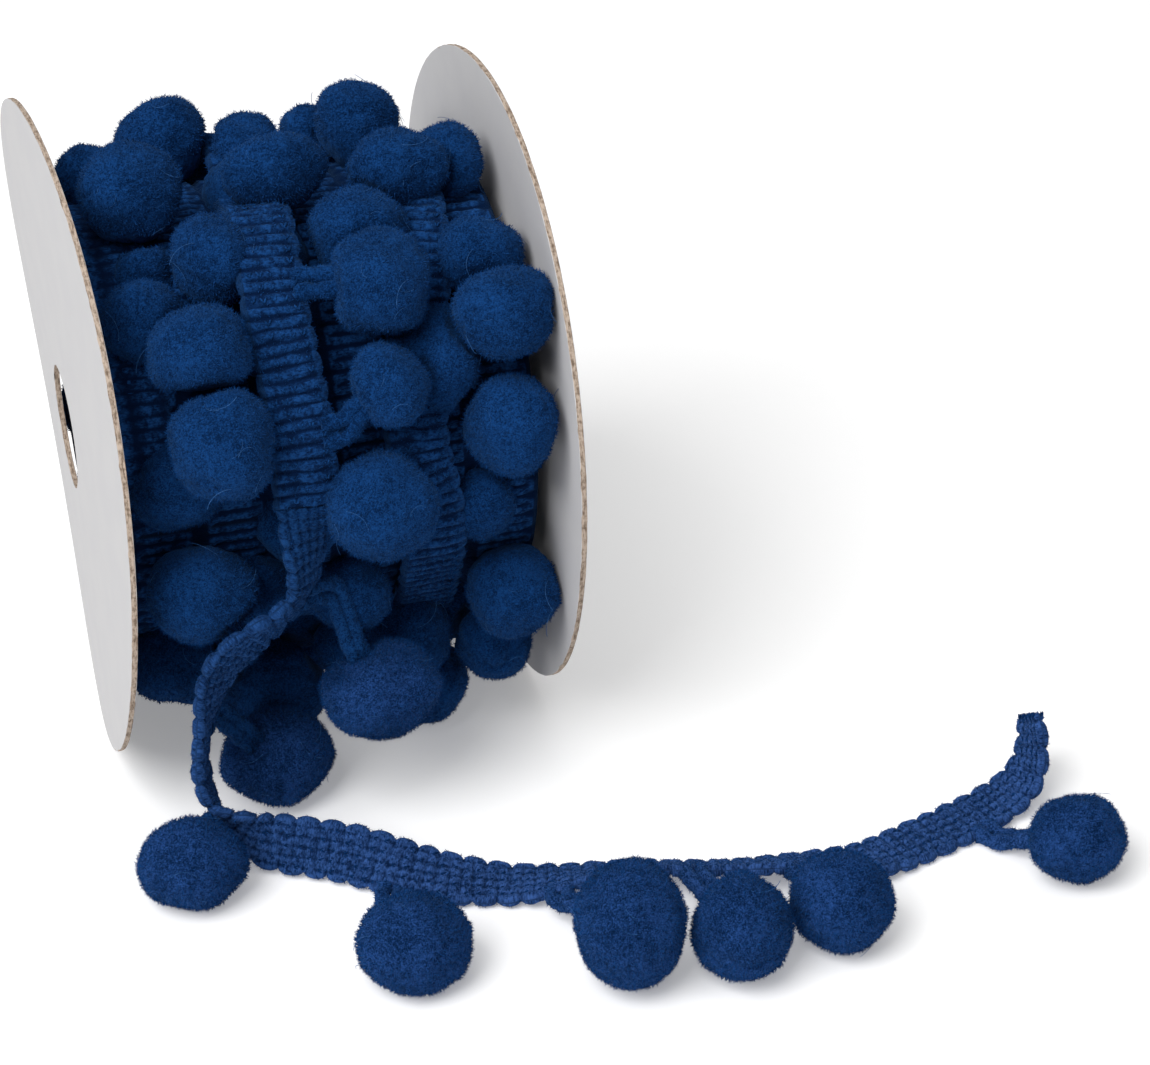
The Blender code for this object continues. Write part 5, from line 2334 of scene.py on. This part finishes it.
@dataclass
class LooseEnd:
    """The end of the trim that leaves the reel and lies on the floor."""

    shop: TrimShop
    step: float = 2.1 * MM

    def build(self) -> None:
        shop = self.shop
        path, edge = self.rows()
        _, tangent = square_to(edge, path)
        weave = Braid(seed=31, end_round=1.5 * MM)
        strip = link("loose_braid", weave.surface("loose_braid", path, edge, shop.open_braid))
        finish_piece(strip, "blue_yarn", "loose_end")
        stitches = weave.stitches(
            "loose_stitches", shop.stitch_tree, path, edge, shop.stitch, (1, -1)
        )
        finish_piece(stitches, "blue_yarn")
        lines = []
        balls = shop.packing.groups[Group.LOOSE]
        for row, ball in zip(LOOSE_POMPOMS, balls):
            station = round(row.root * MM / self.step)
            place = (path[station], edge[station], tangent[station])
            lines += shop.strand_points(*place, ball, shop.cord_radius)
            ball.root = path[station] + edge[station] * weave.width / 2
        loops = shop.loops("loose_loops", lines, shop.cord_radius, shop.open_cord)
        pompoms = shop.pompoms("loose_pompoms", balls, detail=5, felt=shop.open_felt)
        fibres = [
            shop.fuzz(strip, per_mm2=3.0, length=0.45 * MM, seed=4),
            shop.fuzz(loops, per_mm2=4.0, length=0.6 * MM, seed=5),
            shop.fuzz(pompoms, per_mm2=8.0, length=0.8 * MM, seed=6),
            shop.hairs(pompoms, per_mm2=0.01, seed=13),
        ]

    def standing_height(self, edge: np.ndarray, tangent: np.ndarray) -> np.ndarray:
        """How far above the floor the middle line is where the strip rests on an edge or face."""
        facing = np.cross(tangent, edge)
        return Braid.width / 2 * abs(edge[:, 2]) + Braid.thickness / 2 * abs(facing[:, 2])

    def rows(self) -> tuple[np.ndarray, np.ndarray]:
        """Middle line and edge direction of the loose end, on the floor where its z is 0.

        Returns:
            A row of each for every place.
        """
        table = np.array(LOOSE_ROUTE)
        table[:, :3] *= MM
        edge, tangent = square_to(table[:, 3:], table[:, :3])
        table[:, 2] = np.maximum(table[:, 2], self.standing_height(edge, tangent))
        rows = eased(smooth_points(table, self.step))
        edge, tangent = square_to(rows[:, 3:], rows[:, :3])
        stand = self.standing_height(edge, tangent)
        lift = np.clip(rows[:, 2] - stand, 0, None)
        rows[:, 2] = stand + eased(lift[:, None])[:, 0]
        start = OUTER_TURN[0]
        first = int(np.argmax(rows[:, 2] < AXLE.point(0, start.around, start.out * MM).z))
        joint = AXLE.point(start.along * MM, start.around, start.out * MM)
        rows = smooth_points(np.vstack([(*joint, 1.0, 0.0, 0.0), rows[first + 1 :]]), self.step)
        return rows[:, :3], square_to(rows[:, 3:], rows[:, :3])[0]


# The studio


@dataclass
class Studio:
    """A pale floor, soft light and the camera."""

    floor_size: float = 6.0
    eye: tuple[float, float, float] = (-0.052, -0.468, 0.331)
    forward: tuple[float, float, float] = (0.246, 0.806, -0.539)
    right: tuple[float, float, float] = (0.956, -0.292, 0.0)
    lens: float = 96.2
    sensor: float = 36.0
    target: tuple[float, float, float] = (0.05, -0.03, 0.05)
    sky: float = 0.31

    def build(self) -> None:
        """Makes everything that isn't part of the object."""
        self.build_floor()
        self.build_sky()
        self.build_lamp("key", (-0.75, -0.55, 1.15), size=1.0, power=19.0)
        self.build_lamp("top", (-0.1, -0.1, 1.5), size=1.4, power=5.0)
        self.build_camera()
        bpy.context.scene.view_settings.view_transform = "Standard"

    def build_floor(self) -> None:
        """A wide pale floor."""
        half = self.floor_size / 2
        corners = np.array([(-half, -half, 0), (half, -half, 0), (half, half, 0), (-half, half, 0)])
        mesh = mesh_of("floor", corners, np.array([[0, 1, 2, 3]]), PlainFinish().material("floor"))
        link("floor", mesh)

    def build_sky(self) -> None:
        """Even light from all round."""
        world = bpy.data.worlds.new("studio")
        world.use_nodes = True
        background = world.node_tree.nodes["Background"]
        background.inputs["Color"].default_value = (1.0, 1.0, 1.0, 1.0)
        background.inputs["Strength"].default_value = self.sky
        bpy.context.scene.world = world

    def build_lamp(
        self, name: str, place: tuple[float, float, float], size: float, power: float
    ) -> None:
        """A square soft light that faces the object.

        Args:
            name: the lamp's name.
            place: where it stands.
            size: the length of its side.
            power: its power in watts.
        """
        data = bpy.data.lights.new(name, "AREA")
        data.size = size
        data.energy = power
        lamp = bpy.data.objects.new(name, data)
        lamp.location = place
        aim = Vector(self.target) - Vector(place)
        lamp.rotation_euler = aim.to_track_quat("-Z", "Y").to_euler()
        bpy.context.scene.collection.objects.link(lamp)

    def build_camera(self) -> None:
        """The camera at the viewing angle."""
        data = bpy.data.cameras.new("camera")
        data.lens = self.lens
        data.sensor_width = self.sensor
        camera = bpy.data.objects.new("camera", data)
        forward = Vector(self.forward).normalized()
        right = Vector(self.right).normalized()
        turn = Matrix((right, right.cross(forward), -forward)).transposed()
        camera.matrix_world = Matrix.Translation(self.eye) @ turn.to_4x4()
        bpy.context.scene.collection.objects.link(camera)
        bpy.context.scene.camera = camera


def main() -> None:
    """Builds the reel, the trim and the studio."""
    logging.basicConfig(level=logging.INFO, format="%(name)s: %(message)s")
    CardReel().build()
    shop = TrimShop.opened()
    WoundTrim(shop).build()
    LooseEnd(shop).build()
    Studio().build()


if __name__ == "__main__":
    main()
